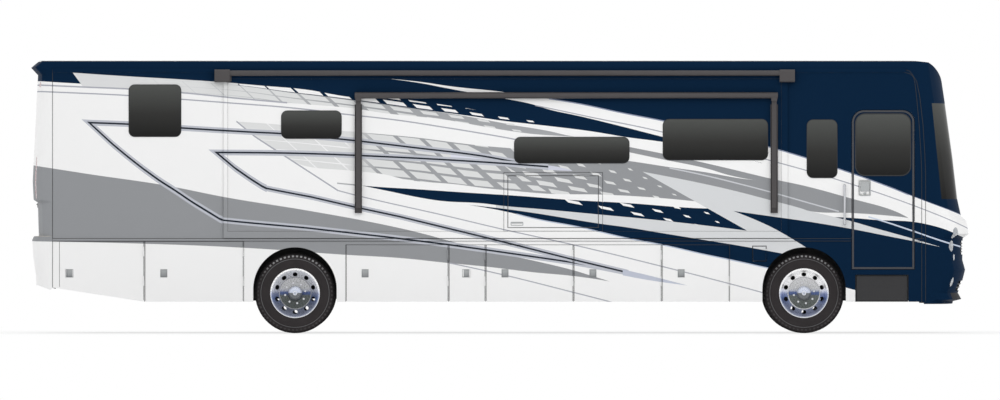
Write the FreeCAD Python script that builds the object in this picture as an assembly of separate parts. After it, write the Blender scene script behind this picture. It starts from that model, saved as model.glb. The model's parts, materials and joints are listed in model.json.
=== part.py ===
"""Class A motorhome on a rear-engined coach chassis, built as separate named pieces.

Row frame: +X forward, +Y to the coach's left, +Z up, origin on the ground under the coach's centre.
All sizes are in millimetres. Each call of write() makes one named piece.
"""
import FreeCAD
import Part

import math
import os

V = FreeCAD.Vector

# ---------------------------------------------------------------- driving dimensions
HALF_WIDTH = 1280.0          # coach body, centre to outer wall face
WALL = 50.0                  # laminated side wall thickness
CAP = 40.0                   # moulded front and rear caps
SKIRT = 40.0                 # lower side panels and luggage doors
ROOF = 60.0                  # roof sandwich thickness
ROOF_TOP = 3342.0            # highest line of the roof above the ground
ROOF_EDGE = 3226.0           # where the side wall stops and the roof's edge begins
ROOF_EDGE_RADIUS = 100.0
RAIL_DEPTH = 39.0            # drip rail, measured down from the roof edge
RAIL_PROUD = 10.0
RAIL_BEAD = 12.0             # height of its bead over the roof edge
BELT_TOP = 1159.0            # moulding between wall and skirt
BELT_HEIGHT = 33.0
BELT_PROUD = 8.0
HEADER = 42.0                # fixed strip over the middle luggage doors
SKIRT_BOTTOM = 386.0
SKIRT_TAIL_Z = 559.0         # skirt bottom at the very rear, where it rises for ramp clearance
REAR_SEAM = -5466.0          # joint between side walls and rear cap
FRONT_SEAM = 5178.0          # joint between side walls and front cap, below the windows
SEAM_KNEE_Z = 1840.0         # above this the front joint leans back with the windshield
SEAM_TOP = (5083.0, 3060.0)
SEAM_BEND = (5045.0, 3175.0)
ROOF_FRONT = 4960.0          # roof panel's front end, on the front joint
FLOOR_BOTTOM = 1130.0
FLOOR_TOP = 1200.0
FLOOR_REAR = -5440.0
FLOOR_FRONT = 5250.0

REAR_AXLE = -2505.0
WHEELBASE = 6220.0
TYRE_RADIUS = 490.0
TYRE_WIDTH = 255.0
RIM_SEAT = 292.0             # radius of the bead seat
RIM_FLANGE = 303.0
RIM_WIDTH = 212.0
TRACK_HALF = 1088.0          # centre to middle of the outer tyre
TWIN_SPACING = 300.0         # between the two tyres of a rear pair
KINGPIN_Y = 900.0
ARCH_RADIUS = 510.0
ARCH_Z = 541.0               # centre of the arch cut in the skirt
FRONT_LINER = 600.0          # inner radius of the wheel housings
REAR_LINER = 560.0
FRONT_LINER_INNER, REAR_LINER_INNER = 562.0, 637.0   # |Y| of their inner edges
LINER_FOOT = TYRE_RADIUS - 70.0
AXLE_NOTCH, AXLE_NOTCH_TOP = 95.0, TYRE_RADIUS + 150.0   # opening for the axle in a housing's inner wall
LINER_SHEET = 8.0

GAP = 5.0                    # clearance round every door, and half the gap beside a post
POST = 14.0                  # fixed post between two luggage doors
FIT = 0.4                    # radial clearance of pins and spindles
SEAT = 0.3                   # clearance of a piece lying on what carries it

# luggage door posts along each side, from the rear (X of each post's middle)
RIGHT_POSTS = {"tail": -5391.0, "engine": -4344.0, "rear_arch": -3130.0, "mid_a": -1885.0, "mid_b": -628.0,
               "mid_c": -176.0, "mid_d": 898.0, "mid_e": 1976.0, "front_arch": 2806.0}
# right luggage doors: name, rear post, front post
RIGHT_DOORS = [
    ("right_bay_door_1", "tail", "engine"),
    ("right_bay_door_2", "engine", "rear_arch"),
    ("right_bay_door_3", "mid_a", "mid_b"),
    ("right_bay_door_4", "mid_b", "mid_c"),
    ("right_bay_door_5", "mid_c", "mid_d"),
    ("right_bay_door_6", "mid_d", "mid_e"),
    ("right_bay_door_7", "mid_e", "front_arch"),
]
LEFT_DOORS = [
    ("left_bay_door_1", "mid_a", "mid_b"),
    ("left_bay_door_2", "mid_b", "mid_d"),
    ("left_bay_door_3", "mid_d", "mid_e"),
    ("left_bay_door_4", "mid_e", "front_arch"),
]
LATCH_SIZE = (86.0, 102.0, 12.0)   # pocket of a luggage door latch: along X, along Z, deep
LATCH_Z = 734.0
LATCH_FROM_POST = 225.0

# windows: rear X, front X, bottom Z, top Z, corner radius
GLASS = 8.0
GLASS_LAP = 20.0             # how far a bonded pane laps over its cut-out
WINDOW_REAR = (-4534.0, -3896.0, 2402.0, 3038.0, 70.0)
WINDOW_SIDE = (3749.0, 4120.0, 1899.0, 2611.0, 75.0)
SLIDE_WINDOWS = [
    (-2672.0, -1936.0, 2379.0, 2720.0, 75.0),
    (174.0, 1579.0, 2078.0, 2398.0, 75.0),
    (1990.0, 3272.0, 2117.0, 2617.0, 75.0),
]
LEFT_WINDOWS = [
    WINDOW_REAR,
    (-2672.0, -1936.0, 2379.0, 2720.0, 75.0),
    (-700.0, 705.0, 2078.0, 2398.0, 75.0),
    (1990.0, 3272.0, 2117.0, 2617.0, 75.0),
    (3900.0, 4950.0, 1899.0, 2687.0, 110.0),
]

# slide-out room on the right side
SLIDE_REAR, SLIDE_FRONT = -3327.0, 3437.0
SLIDE_BOTTOM, SLIDE_TOP = 1245.0, 3095.0
SLIDE_DEPTH = 850.0
SLIDE_CLEAR = 12.0           # between the room and its opening in the wall
FASCIA = 20.0                # outer flange plate
FASCIA_GAP = 6.0             # room for the seal between flange and wall
FASCIA_REAR, FASCIA_FRONT = -3376.0, 3514.0
FASCIA_BOTTOM, FASCIA_TOP = 1165.0, 3160.0
INNER_FLANGE = 35.0

# entry door and steps, right side
DOOR_REAR, DOOR_FRONT = 4298.0, 5063.0
DOOR_BOTTOM, DOOR_TOP = 782.0, 2727.0
DOOR_CORNER = 147.0
DOOR_WINDOW = (4350.0, 5010.0, 1935.0, 2675.0, 110.0)
STAIR_DEPTH = 300.0
STAIR_INNER = 630.0          # |Y| of the top riser
STEP_REAR, STEP_FRONT = 4345.0, 4986.0
STEP_BOTTOM, STEP_TOP = 386.0, 712.0
STEP_DEPTH = 420.0

# outside locker for a screen, in the slide-out wall
HATCH_REAR, HATCH_FRONT = 96.0, 1202.0
HATCH_BOTTOM, HATCH_TOP = 1292.0, 1926.0
HATCH_LEAF = 30.0
LOCKER_DEPTH = 150.0

# fuel filler flap, in the right skirt ahead of the luggage bays
FLAP_REAR, FLAP_FRONT = 3086.0, 3252.0
FLAP_BOTTOM, FLAP_TOP = 882.0, 1066.0
FLAP_LEAF = 12.0

# rear engine door, in the recess of the rear cap
ENGINE_DOOR_HALF = 620.0
ENGINE_DOOR_BOTTOM, ENGINE_DOOR_TOP = 1215.0, 1572.0

# chassis
RAIL_Y = 430.0
RAIL_BOTTOM = 880.0
RAIL_WEB = 10.0
RAIL_FLANGE = 75.0
AXLE_Z = TYRE_RADIUS
FRONT_AXLE = REAR_AXLE + WHEELBASE
SPINDLE = 45.0
KINGPIN = 24.0
ARM_BACK = 250.0             # tie rod ball behind the kingpin

# side outline of the front cap: height, foremost X at the centreline, rise of the inner face's corner
FRONT_OUTLINE = [
    (358.0, 5557.0, -200.0), (387.0, 5563.0, 20.0), (413.0, 5666.0, 25.0), (492.0, 5623.0, 0.0),
    (640.0, 5679.0, 0.0), (772.0, 5713.0, 0.0), (894.0, 5679.0, 0.0), (1158.0, 5683.0, 10.0),
    (1216.0, 5756.0, 15.0), (1372.0, 5727.0, -10.0), (1430.0, 5663.0, -10.0), (1635.0, 5617.0, 0.0),
    (2149.0, 5557.0, 0.0), (2812.0, 5465.0, 0.0), (3345.0, 5385.0, 0.0),
]
BROW = [(5238.0, 3311.0), (5384.0, 3172.0), (5437.0, 2999.0)]   # arc over the windshield
# side outline of the rear cap: height, rearmost X at the centreline, rise of the inner face's corner
REAR_OUTLINE = [
    (500.0, -5690.0, -200.0), (718.0, -5699.0, 0.0), (941.0, -5732.0, 0.0), (1140.0, -5745.0, -25.0),
    (1184.0, -5722.0, -40.0), (1188.0, -5663.0, -36.0), (1597.0, -5675.0, 36.0), (1633.0, -5727.0, 36.0),
    (1855.0, -5738.0, 0.0), (2558.0, -5704.0, 0.0), (3160.0, -5673.0, 25.0), (3250.0, -5757.0, 15.0),
    (3345.0, -5645.0, 0.0),
]
FRONT_CORNER, FRONT_BOW = 200.0, 4200.0    # plan radii of the cap's corner and of its bowed face
REAR_CORNER, REAR_BOW = 150.0, 9000.0
WINDSHIELD = [(5277.0, 2812.0), (5395.0, 1640.0)]               # rear edge of the glass, top and bottom
WINDSHIELD_GLASS = 12.0

# luggage doors and bays
DOOR_SKIN = 12.0             # thickness left where a luggage door is dished behind
DISH_MARGIN = 45.0           # full-thickness rim round that dish
DISH_RISE = 25.0             # bottom of the dish above the skirt's raised tail
BAY_SHEET = 12.0
BAY_FLOOR = SKIRT_BOTTOM + 10.0
BAY_RECESS = 10.0            # bay floors stop this far behind the doors
TAIL_LOCKER_FLOOR = SKIRT_TAIL_Z + 16.0
LOCKER_BACK = 720.0          # |Y| of the back of the lockers behind the rear wheels

# hinges
HINGE_PIN, HINGE_KNUCKLE = 3.0, 6.5
HINGE_PROUD = 7.0            # axis outside the panel face
HINGE_LENGTH = 60.0          # of one knuckle
HINGE_LEAF = 2.0
HINGE_REACH = 40.0           # of the moving leaf over its door
HINGE_STALK = 1.8 * HINGE_LENGTH   # length of the pin, from the foot of the fixed knuckle
FIXED_REACH = GAP / 2 + POST
LOWER_HINGE = SKIRT_TAIL_Z + 20.0  # foot of a luggage door's lower hinge
HINGE_BELOW_TOP = 60.0             # and of the upper one's head below the door's top
FLAP_HINGE_RISE = 30.0       # foot of the fuel flap's hinge above its bottom
HATCH_HINGES = (200.0, 980.0)
ENGINE_HINGES = (-360.0, 240.0)
ENTRY_HINGES = (1250.0, 2350.0)

# lamps of the front cap: |Y|, Z, diameter, turn of the lamp's axis outwards from dead ahead
FRONT_LAMPS = [
    (1120.0, 1227.0, 135.0, 24.0),
    (1120.0, 1068.0, 135.0, 24.0),
    (1010.0, 929.0, 80.0, 12.0),
    (1085.0, 625.0, 110.0, 18.0),
]
# lamps of the rear cap: |Y|, Z, width, height
REAR_LAMPS = [(1010.0, 1900.0, 130.0, 520.0), (1010.0, 3040.0, 180.0, 60.0)]
LAMP_DEPTH = 30.0
LAMP_SEAT = 0.5
LAMP_ORIGIN_X = 5450.0       # where the turned axes of the front lamps start
REAR_LAMP_ROUND = 0.8        # corner radius of a rear lamp as a share of its shorter half side
GRILLE_HALF, GRILLE_BOTTOM, GRILLE_TOP = 560.0, 960.0, 1130.0
INTAKE_HALF, INTAKE_BOTTOM, INTAKE_TOP = 700.0, 520.0, 640.0
BAR = 12.0
BAR_PITCH = 42.0
BAR_FACE, BAR_BACK = 4.0, 22.0      # depth of the bars behind the cap's face
RIB_FACE, RIB_BACK = 14.0, 34.0     # and of the uprights that hold them

# rear cap, hitch and engine door
HITCH_Z = 640.0
HITCH_OUTER, HITCH_BORE, HITCH_PIN = 63.5, 51.0, 16.0
HITCH_END = -5640.0
HITCH_MOUTH = 60.0           # half of the square hole for the receiver in the rear cap
HITCH_LENGTH = 330.0
HITCH_SOCKET = 230.0         # depth of the square socket
HITCH_PIN_IN = 64.0          # pin bore's distance from the mouth
HITCH_CROSS = 70.0           # cross tube, along X
HITCH_PLATE = 12.0
# lower edge of the rear cap: level at the back, down to a toe, then up to the skirt
CAP_TOE = [(-5645.0, 584.0), (-5493.0, 532.0), (REAR_SEAM, SKIRT_TAIL_Z)]
ENGINE_DOOR_X = -5674.4      # outer face of the recess at the door's top edge, on the centreline
ENGINE_PACKER = 14.0
ENGINE_DOOR_THICK = CAP - 10.0

# slide-out room
ROOM_WALL = 40.0
ROOM_FACE = -HALF_WIDTH - FASCIA_GAP          # inner face of the fascia
FASCIA_STEP = 8.0                             # panel set back inside its flange
PANEL_FACE = ROOM_FACE - FASCIA + FASCIA_STEP # outer face of the set-back panel
FASCIA_HEAD = 50.0                            # depth of the fascia's flange along its top
ROOM_BACK = ROOM_FACE + SLIDE_DEPTH
INNER_FLANGE_THICK = 20.0
HATCH_FRAME = (44.0, 1256.0, 1246.0, 1967.0)
HATCH_FRAME_PROUD = 6.0
HATCH_FACE = PANEL_FACE - HATCH_FRAME_PROUD
LOCKER_WALL = 15.0
GLIDE_PADS = (-3200.0, -1600.0, 0.0, 1600.0, 3200.0)   # blocks that carry the room over the floor
GLIDE_PAD_HALF = 60.0

# patio awning and slide topper
AWNING_REAR, AWNING_FRONT = -1774.0, 3393.0
AWNING_TUBE = 39.0
AWNING_Z = 2907.0
AWNING_ARM = 88.0
ARM_DEPTH = 42.0
ARM_BOTTOM = 1470.0
ARM_SHEET = 4.0
RAFTER_IN, HEAD_IN = 14.0, 8.0      # rafter and head casting, inside the arm's sides
TOPPER_REAR, TOPPER_FRONT = -3486.0, 3601.0
TOPPER_CASE = 186.0
TOPPER_Z, TOPPER_TUBE = 3177.0, 34.0
TOPPER_DEPTH, TOPPER_ROUND = 84.0, 30.0
TOPPER_MOUNT = 96.0

# entry
LOCK_RECESS = (4377.0, 4529.0, 1683.0, 1876.0)    # rear, front, bottom, top
PADDLE = (4395.0, 4511.0, 1705.0, 1854.0)
LOCK_DEEP = 14.0
STAIR_SHEET = 10.0
STEP_SHEET = 6.0
STEP_SIDE_PLAY = 12.0        # step drawer to its housing's outer faces
STEP_PANEL = 8.0
UPPER_TREAD_RISE, UPPER_TREAD_BACK = 150.0, 150.0
HANDLE_X, HANDLE_BOTTOM, HANDLE_TOP = 4209.0, 1323.0, 1825.0
HANDLE_RADIUS, HANDLE_OFF = 15.0, 62.0

# frame rails, engine and axles
RAIL_REAR, RAIL_FRONT = -5400.0, 5200.0
CROSS_MEMBERS = (-3420.0, -1950.0, -900.0, 400.0, 1500.0, 2600.0, 3250.0, 4200.0, 5150.0)
JACK_PADS = (-3300.0, 3200.0)
JACK_PAD_HALF, JACK_PAD_IN, JACK_PAD_THICK = 60.0, 110.0, 14.0
ENGINE_REAR, ENGINE_FRONT, ENGINE_HALF = -5180.0, -4180.0, 340.0
ENGINE_BOTTOM, ENGINE_TOP = 575.0, 1105.0
GEARBOX_FRONT, GEARBOX_RADIUS, GEARBOX_Z = -3560.0, 230.0, 800.0
SHAFT_RADIUS, SHAFT_Z = 45.0, 760.0
FLANGE_RADIUS, FLANGE_THICK = 70.0, 25.0
RADIATOR_REAR, RADIATOR_FRONT, RADIATOR_HALF = -5440.0, -5340.0, 330.0
RADIATOR_BOTTOM = HITCH_Z + HITCH_OUTER / 2 + 20
DIFFERENTIAL = 205.0           # radius of its casing
PINION_END = REAR_AXLE - DIFFERENTIAL - 15
PINION_RADIUS, PINION_RISE = 90.0, 60.0
AXLE_TUBE, AXLE_TUBE_END = 75.0, 620.0
SPRING_BEAM_Y, SPRING_BEAM_HALF, SPRING_BEAM_REACH = 500.0, 40.0, 480.0
SPRING_BEAM_BOTTOM, SPRING_BEAM_TOP = 430.0, 500.0
REAR_SPRING, REAR_SPRING_Y, REAR_SPRING_X = 100.0, 520.0, 400.0
FRONT_SPRING, FRONT_SPRING_Y = 105.0, 450.0
BEAM_HALF, BEAM_BOTTOM, BEAM_TOP = 45.0, 440.0, 540.0
KINGPIN_BOSS = 52.0
KINGPIN_BOTTOM, KINGPIN_TOP = 385.0, 595.0
YOKES = [(392.0, 434.0), (546.0, 588.0)]          # bottom and top of the knuckle's two yoke plates
YOKE_RADIUS, YOKE_REACH = 50.0, 90.0
UPRIGHT_IN, UPRIGHT_OUT, UPRIGHT_HALF = 62.0, 92.0, 60.0
ARM_HALF, ARM_THICK, ARM_EYE = 20.0, 22.0, 28.0
BALL, BALL_BOTTOM = 11.0, 350.0
BALL_SLACK = 3.0             # play of the far tie rod end, which lets both wheels steer alike
TIE_ROD, TIE_ROD_EYE, TIE_ROD_EYE_HALF, TIE_ROD_Z = 14.0, 26.0, 18.0, 368.0
TANK_REAR, TANK_FRONT, TANK_HALF, TANK_BOTTOM = 2850.0, 3070.0, 1130.0, 430.0
TANK_ROUND = 50.0
STRAP_Y, STRAP_HALF = 420.0, 25.0

# wheels
FRONT_TRACK = 1040.0
DISC_OFFSET = 150.0          # from the tyre's middle to the mounting face of a dished wheel disc
FRONT_DISC = 96.0
DISC = 14.0
HAND_HOLES = 10
HAND_HOLE_RADIUS = 230.0
HAND_HOLE, HAND_HOLE_STRETCH = 24.0, 5.0   # each hole is two overlapping rounds, a little apart
HUB_RADIUS = 84.0
FRONT_CAP_REACH, REAR_CAP_REACH = 130.0, 40.0     # hub caps, outboard of the tyre's middle

# cab
DASH_OUTLINE = [(4980.0, 1780.0), (5430.0, 1640.0), (5440.0, 1560.0), (5300.0, 1300.0), (5150.0, 1300.0),
                (4960.0, 1690.0)]
DASH_HALF = 1100.0
DASH_LEG = (5170.0, 5240.0, 1000.0, 1340.0)       # rear, front, half width, top
DRIVER_Y = 600.0
STEERING_X, STEERING_Z, STEERING_TILT = 4890.0, 1870.0, 38.0
STEERING_RIM, STEERING_GRIP = 215.0, 15.0
SEATS = [(4330.0, DRIVER_Y), (4330.0, -330.0)]    # rear X and middle Y of each cab seat
CUSHION_BACK, CUSHION_FRONT, CUSHION_HALF = 60.0, 560.0, 250.0
CUSHION_BOTTOM, CUSHION_TOP = 1560.0, 1680.0
BACKREST_HALF, BACKREST_TOP = 240.0, 2450.0
PAN_THICK = 40.0


# ---------------------------------------------------------------- small helpers
def box(x0, x1, y0, y1, z0, z1):
    return Part.makeBox(x1 - x0, y1 - y0, z1 - z0, V(x0, y0, z0))


def rod(radius, start, end):
    direction = V(*end) - V(*start)
    return Part.makeCylinder(radius, direction.Length, V(*start), direction)


def fuse(shapes):
    first, rest = shapes[0], list(shapes[1:])
    if not rest:
        return first
    return first.fuse(rest).removeSplitter()


def cut(shape, tools):
    return shape.cut(list(tools)).removeSplitter() if tools else shape


def prism_xz(points, y0, y1):
    """A side outline in X and Z, made solid from y0 to y1."""
    corners = [V(x, y0, z) for x, z in points]
    return Part.Face(Part.makePolygon(corners + corners[:1])).extrude(V(0, y1 - y0, 0))


def pane(window, y0, y1, grow=0.0):
    """A round-cornered side window shape, (rear, front, bottom, top, radius), from y0 to y1."""
    x0, x1, z0, z1, radius = window
    solid = box(x0 - grow, x1 + grow, y0, y1, z0 - grow, z1 + grow)
    upright = [e for e in solid.Edges if abs(e.tangentAt(e.FirstParameter).y) > 0.99]
    return solid.makeFillet(radius + grow, upright)


def mirror_y(shape):
    return shape.mirror(V(0, 0, 0), V(0, 1, 0))


def write(name, shapes):
    """Writes one piece, made of one or more solids, under its name."""
    shapes = shapes if isinstance(shapes, list) else [shapes]
    solids = [s for shape in shapes for s in shape.Solids]
    compound = solids[0] if len(solids) == 1 else Part.makeCompound(solids)
    if not all(s.isValid() for s in solids):
        print("INVALID", name)
    compound.exportStep(f"parts/{name}.step")
    print(f"{name}: {len(solids)} solid(s), {sum(s.Volume for s in solids) / 1e9:.4f} m3")


# ---------------------------------------------------------------- the coach's outer form
def plan_outline(z, tip, facing, half, corner, bow, back):
    """Plan of a cap at one height: straight sides, round corners and a bowed end, all tangent."""
    bow_x = tip - facing * bow
    reach = math.sqrt((bow - corner) ** 2 - (half - corner) ** 2)
    corner_x = bow_x + facing * reach
    end_x = bow_x + facing * reach * bow / (bow - corner)
    end_y = (half - corner) * bow / (bow - corner)
    slope = V(facing * reach / (bow - corner), (half - corner) / (bow - corner), 0)
    middle = (slope + V(0, 1, 0)).normalize() * corner
    mid_x, mid_y = corner_x + middle.x, half - corner + middle.y
    edges = [
        Part.LineSegment(V(back, -half, z), V(corner_x, -half, z)),
        Part.Arc(V(corner_x, -half, z), V(mid_x, -mid_y, z), V(end_x, -end_y, z)),
        Part.Arc(V(end_x, -end_y, z), V(tip, 0, z), V(end_x, end_y, z)),
        Part.Arc(V(end_x, end_y, z), V(mid_x, mid_y, z), V(corner_x, half, z)),
        Part.LineSegment(V(corner_x, half, z), V(back, half, z)),
        Part.LineSegment(V(back, half, z), V(back, -half, z)),
    ]
    return Part.Wire([e.toShape() for e in edges])


def cap_loft(outline, facing, inset, corner, bow, back):
    """Ruled loft through the plans of a cap, its faces moved inwards by inset."""
    sections = []
    for z, tip, inner_rise in outline:
        height = z + inner_rise * inset / CAP
        sections.append(plan_outline(height, tip - facing * inset, facing, HALF_WIDTH - inset,
                                     corner - inset, bow - inset, back))
    return Part.makeLoft(sections, True, True)


def cross_section(inset):
    """The coach's cross-section, with the roof's round edges and crown, along its whole length."""
    half, top, edge = HALF_WIDTH - inset, ROOF_TOP - inset, ROOF_EDGE
    radius = ROOF_EDGE_RADIUS - inset
    shoulder_y, shoulder_z = half - radius, edge + radius
    diagonal = radius * math.sqrt(0.5)
    x = REAR_SEAM - 600
    edges = [
        Part.LineSegment(V(x, -half, 0), V(x, half, 0)),
        Part.LineSegment(V(x, half, 0), V(x, half, edge)),
        Part.Arc(V(x, half, edge), V(x, shoulder_y + diagonal, edge + diagonal),
                 V(x, shoulder_y, shoulder_z)),
        Part.Arc(V(x, shoulder_y, shoulder_z), V(x, 0, top), V(x, -shoulder_y, shoulder_z)),
        Part.Arc(V(x, -shoulder_y, shoulder_z), V(x, -shoulder_y - diagonal, edge + diagonal),
                 V(x, -half, edge)),
        Part.LineSegment(V(x, -half, edge), V(x, -half, 0)),
    ]
    face = Part.Face(Part.Wire([e.toShape() for e in edges]))
    return face.extrude(V(FRONT_SEAM - REAR_SEAM + 1400, 0, 0))


def brow(inset):
    """Everything under the arc that joins the roof to the windshield."""
    (x0, z0), (x1, z1), (x2, z2) = [(x - inset, z - inset) for x, z in BROW]
    y = -HALF_WIDTH - 100
    lead = ROOF_FRONT - 200
    points = [(x2 + 600, z2 - 600), (x2 + 600, 0), (lead, 0), (lead, ROOF_TOP + 20 - inset)]
    edges = [Part.Arc(V(x0, y, z0), V(x1, y, z1), V(x2, y, z2))]
    corners = [(x2, z2)] + points + [(x0, z0)]
    edges += [Part.LineSegment(V(a[0], y, a[1]), V(b[0], y, b[1])) for a, b in zip(corners, corners[1:])]
    return Part.Face(Part.Wire([e.toShape() for e in edges])).extrude(V(0, 2 * HALF_WIDTH + 200, 0))


def front_form(inset):
    loft = cap_loft(FRONT_OUTLINE, 1, inset, FRONT_CORNER, FRONT_BOW, ROOF_FRONT - 100)
    return loft.common(cross_section(inset)).common(brow(inset))


def rear_form(inset):
    loft = cap_loft(REAR_OUTLINE, -1, inset, REAR_CORNER, REAR_BOW, REAR_SEAM + 100)
    return loft.common(cross_section(inset))


def seam_outline(ends):
    """Side outline whose front edge is the joint with the front cap; ends are its other corners."""
    y = 0
    (top_x, top_z), (bend_x, bend_z) = SEAM_TOP, SEAM_BEND
    arc = Part.Arc(V(top_x, y, top_z), V(bend_x, y, bend_z), V(ROOF_FRONT, y, ROOF_EDGE))
    corners = [(ROOF_FRONT, ROOF_EDGE)] + ends + [(FRONT_SEAM, SEAM_KNEE_Z), SEAM_TOP]
    lines = [Part.LineSegment(V(a[0], y, a[1]), V(b[0], y, b[1])) for a, b in zip(corners, corners[1:])]
    return Part.Face(Part.Wire([e.toShape() for e in [arc] + lines]))


# ---------------------------------------------------------------- hinges


def hinge(origin, along, back, out, packer=0.0):
    """A lift-off hinge with its pin on origin + t * along: (fixed half, moving half).

    back points from the axis over the moving panel, and out points away from the panel's face.
    packer thickens the leaves towards a panel that bows away from the axis."""
    origin, along, back, out = V(*origin), V(*along), V(*back), V(*out)

    def barrel(radius, t0, t1):
        return Part.makeCylinder(radius, t1 - t0, origin + along * t0, along)

    def leaf(t0, t1, reach, towards):
        corner = origin + along * t0 - out * HINGE_PROUD
        plate = corner + towards * (GAP / 2 if packer else 0) - out * packer
        rise = out * (HINGE_LEAF + packer)
        far = corner + towards * reach
        ends = [plate, far - out * packer, far + out * HINGE_LEAF, plate + rise]
        shape = Part.Face(Part.makePolygon(ends + ends[:1])).extrude(along * (t1 - t0))
        if packer:
            ends = [corner, corner + towards * GAP, corner + towards * GAP + out * HINGE_LEAF,
                    corner + out * HINGE_LEAF]
            shape = shape.fuse(Part.Face(Part.makePolygon(ends + ends[:1])).extrude(along * (t1 - t0)))
        return shape

    length = HINGE_LENGTH
    fixed = fuse([barrel(HINGE_KNUCKLE, 0, length), leaf(0, length, FIXED_REACH, back * -1),
                  barrel(HINGE_PIN, 0, HINGE_STALK)])
    foot, head = length + FIT, 2 * length
    moving = barrel(HINGE_KNUCKLE, foot, head).fuse(leaf(foot, head, HINGE_REACH, back))
    return fixed, moving.cut(barrel(HINGE_PIN + FIT, 0, head + 1))


def upright_hinge(axis_x, face_y, side, z):
    """A hinge at the front edge of a door in a side wall."""
    return hinge((axis_x, face_y + side * HINGE_PROUD, z), (0, 0, 1), (-1, 0, 0), (0, side, 0))


# ---------------------------------------------------------------- side walls and roof
def side_wall(inner, outer):
    """Wall blank between the rear joint, the belt moulding, the front joint and the roof edge."""
    face = seam_outline([(REAR_SEAM, ROOF_EDGE), (REAR_SEAM, BELT_TOP), (FRONT_SEAM, BELT_TOP)])
    face.translate(V(0, inner, 0))
    return face.extrude(V(0, outer - inner, 0))


def make_roof():
    outer = cross_section(0)
    inner = cross_section(ROOF)
    above = box(REAR_SEAM, ROOF_FRONT, -2000, 2000, ROOF_EDGE, ROOF_TOP + 100)
    shell = outer.common(above).cut(inner)
    face = -HALF_WIDTH - RAIL_PROUD
    lip = box(REAR_SEAM, ROOF_FRONT, face, -HALF_WIDTH, ROOF_EDGE - RAIL_DEPTH, ROOF_EDGE)
    bead = box(REAR_SEAM, ROOF_FRONT, face, -HALF_WIDTH + ROOF / 2, ROOF_EDGE, ROOF_EDGE + RAIL_BEAD)
    return fuse([shell, lip, bead, mirror_y(lip), mirror_y(bead)])


def opening(window):
    """The hole in a wall behind a bonded pane."""
    x0, x1, z0, z1, radius = window
    return (x0 + GLASS_LAP, x1 - GLASS_LAP, z0 + GLASS_LAP, z1 - GLASS_LAP, radius - GLASS_LAP)


def entry_opening(clear, y0, y1):
    """The entry doorway: round top corners, square bottom."""
    tall = (DOOR_REAR - clear, DOOR_FRONT + clear, DOOR_BOTTOM - clear, DOOR_TOP + clear,
            DOOR_CORNER + clear)
    lower = box(tall[0], tall[1], y0, y1, tall[2], tall[2] + 400)
    return pane(tall, y0, y1).fuse(lower).removeSplitter()


def make_right_wall():
    wall = side_wall(-HALF_WIDTH + WALL, -HALF_WIDTH)
    y0, y1 = -HALF_WIDTH - 50, -HALF_WIDTH + WALL + 50
    room = box(SLIDE_REAR - SLIDE_CLEAR, SLIDE_FRONT + SLIDE_CLEAR, y0, y1,
               SLIDE_BOTTOM - SLIDE_CLEAR, SLIDE_TOP + SLIDE_CLEAR)
    tools = [room, entry_opening(GAP, y0, y1)]
    tools += [pane(opening(w), y0, y1) for w in (WINDOW_REAR, WINDOW_SIDE)]
    hinges = [upright_hinge(DOOR_FRONT + GAP / 2, -HALF_WIDTH, -1, z)[0] for z in ENTRY_HINGES]
    return fuse([cut(wall, tools)] + hinges)


def make_left_wall():
    wall = side_wall(HALF_WIDTH - WALL, HALF_WIDTH)
    y0, y1 = HALF_WIDTH - WALL - 50, HALF_WIDTH + 50
    return cut(wall, [pane(opening(w), y0, y1) for w in LEFT_WINDOWS])


# ---------------------------------------------------------------- skirts and luggage doors
def skirt_blank(side):
    outline = [(REAR_SEAM, SKIRT_TAIL_Z), (RIGHT_POSTS["engine"], SKIRT_BOTTOM), (FRONT_SEAM, SKIRT_BOTTOM),
               (FRONT_SEAM, BELT_TOP - BELT_HEIGHT), (REAR_SEAM, BELT_TOP - BELT_HEIGHT)]
    inner, outer = side * (HALF_WIDTH - SKIRT), side * HALF_WIDTH
    return prism_xz(outline, min(inner, outer), max(inner, outer))


def arch_cut(x):
    y = HALF_WIDTH + 100
    round_part = rod(ARCH_RADIUS, (x, -y, ARCH_Z), (x, y, ARCH_Z))
    return round_part.fuse(box(x - ARCH_RADIUS, x + ARCH_RADIUS, -y, y, 0, ARCH_Z))


def door_span(rear, front):
    """Edges along X and top of a luggage door between two posts."""
    top = BELT_TOP - BELT_HEIGHT - GAP
    if RIGHT_POSTS[rear] >= RIGHT_POSTS["mid_a"]:
        top -= HEADER
    return RIGHT_POSTS[rear] + POST / 2 + GAP, RIGHT_POSTS[front] - POST / 2 - GAP, top


def bay_door(side, rear, front):
    """A luggage door: flush leaf, latch pocket near its rear edge and its half of two hinges."""
    x0, x1, top = door_span(rear, front)
    leaf = skirt_blank(side).common(box(x0, x1, -2000, 2000, 0, top))
    latch_x = x0 + min(LATCH_FROM_POST, (x1 - x0) / 2)
    if rear == "tail":
        latch_x = x0 + LATCH_FROM_POST / 2
    lx, lz, deep = LATCH_SIZE
    face = side * HALF_WIDTH
    pocket_y = sorted((face + side * 10, face - side * deep))
    half_x, half_z = lx / 2, lz / 2
    pocket = box(latch_x - half_x, latch_x + half_x, pocket_y[0], pocket_y[1], LATCH_Z - half_z,
                 LATCH_Z + half_z)
    inner_y = sorted((face - side * (SKIRT - DOOR_SKIN), face - side * (SKIRT + 1)))
    dish = box(x0 + DISH_MARGIN, x1 - DISH_MARGIN, inner_y[0], inner_y[1], SKIRT_TAIL_Z + DISH_RISE,
               top - DISH_MARGIN)
    moving = [upright_hinge(x1 + GAP / 2, face, side, z)[1] for z in hinge_heights(top)]
    return fuse([cut(leaf, [pocket, dish])] + moving)


def hinge_heights(top):
    return (LOWER_HINGE, top - 2 * HINGE_LENGTH - HINGE_BELOW_TOP)


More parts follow.
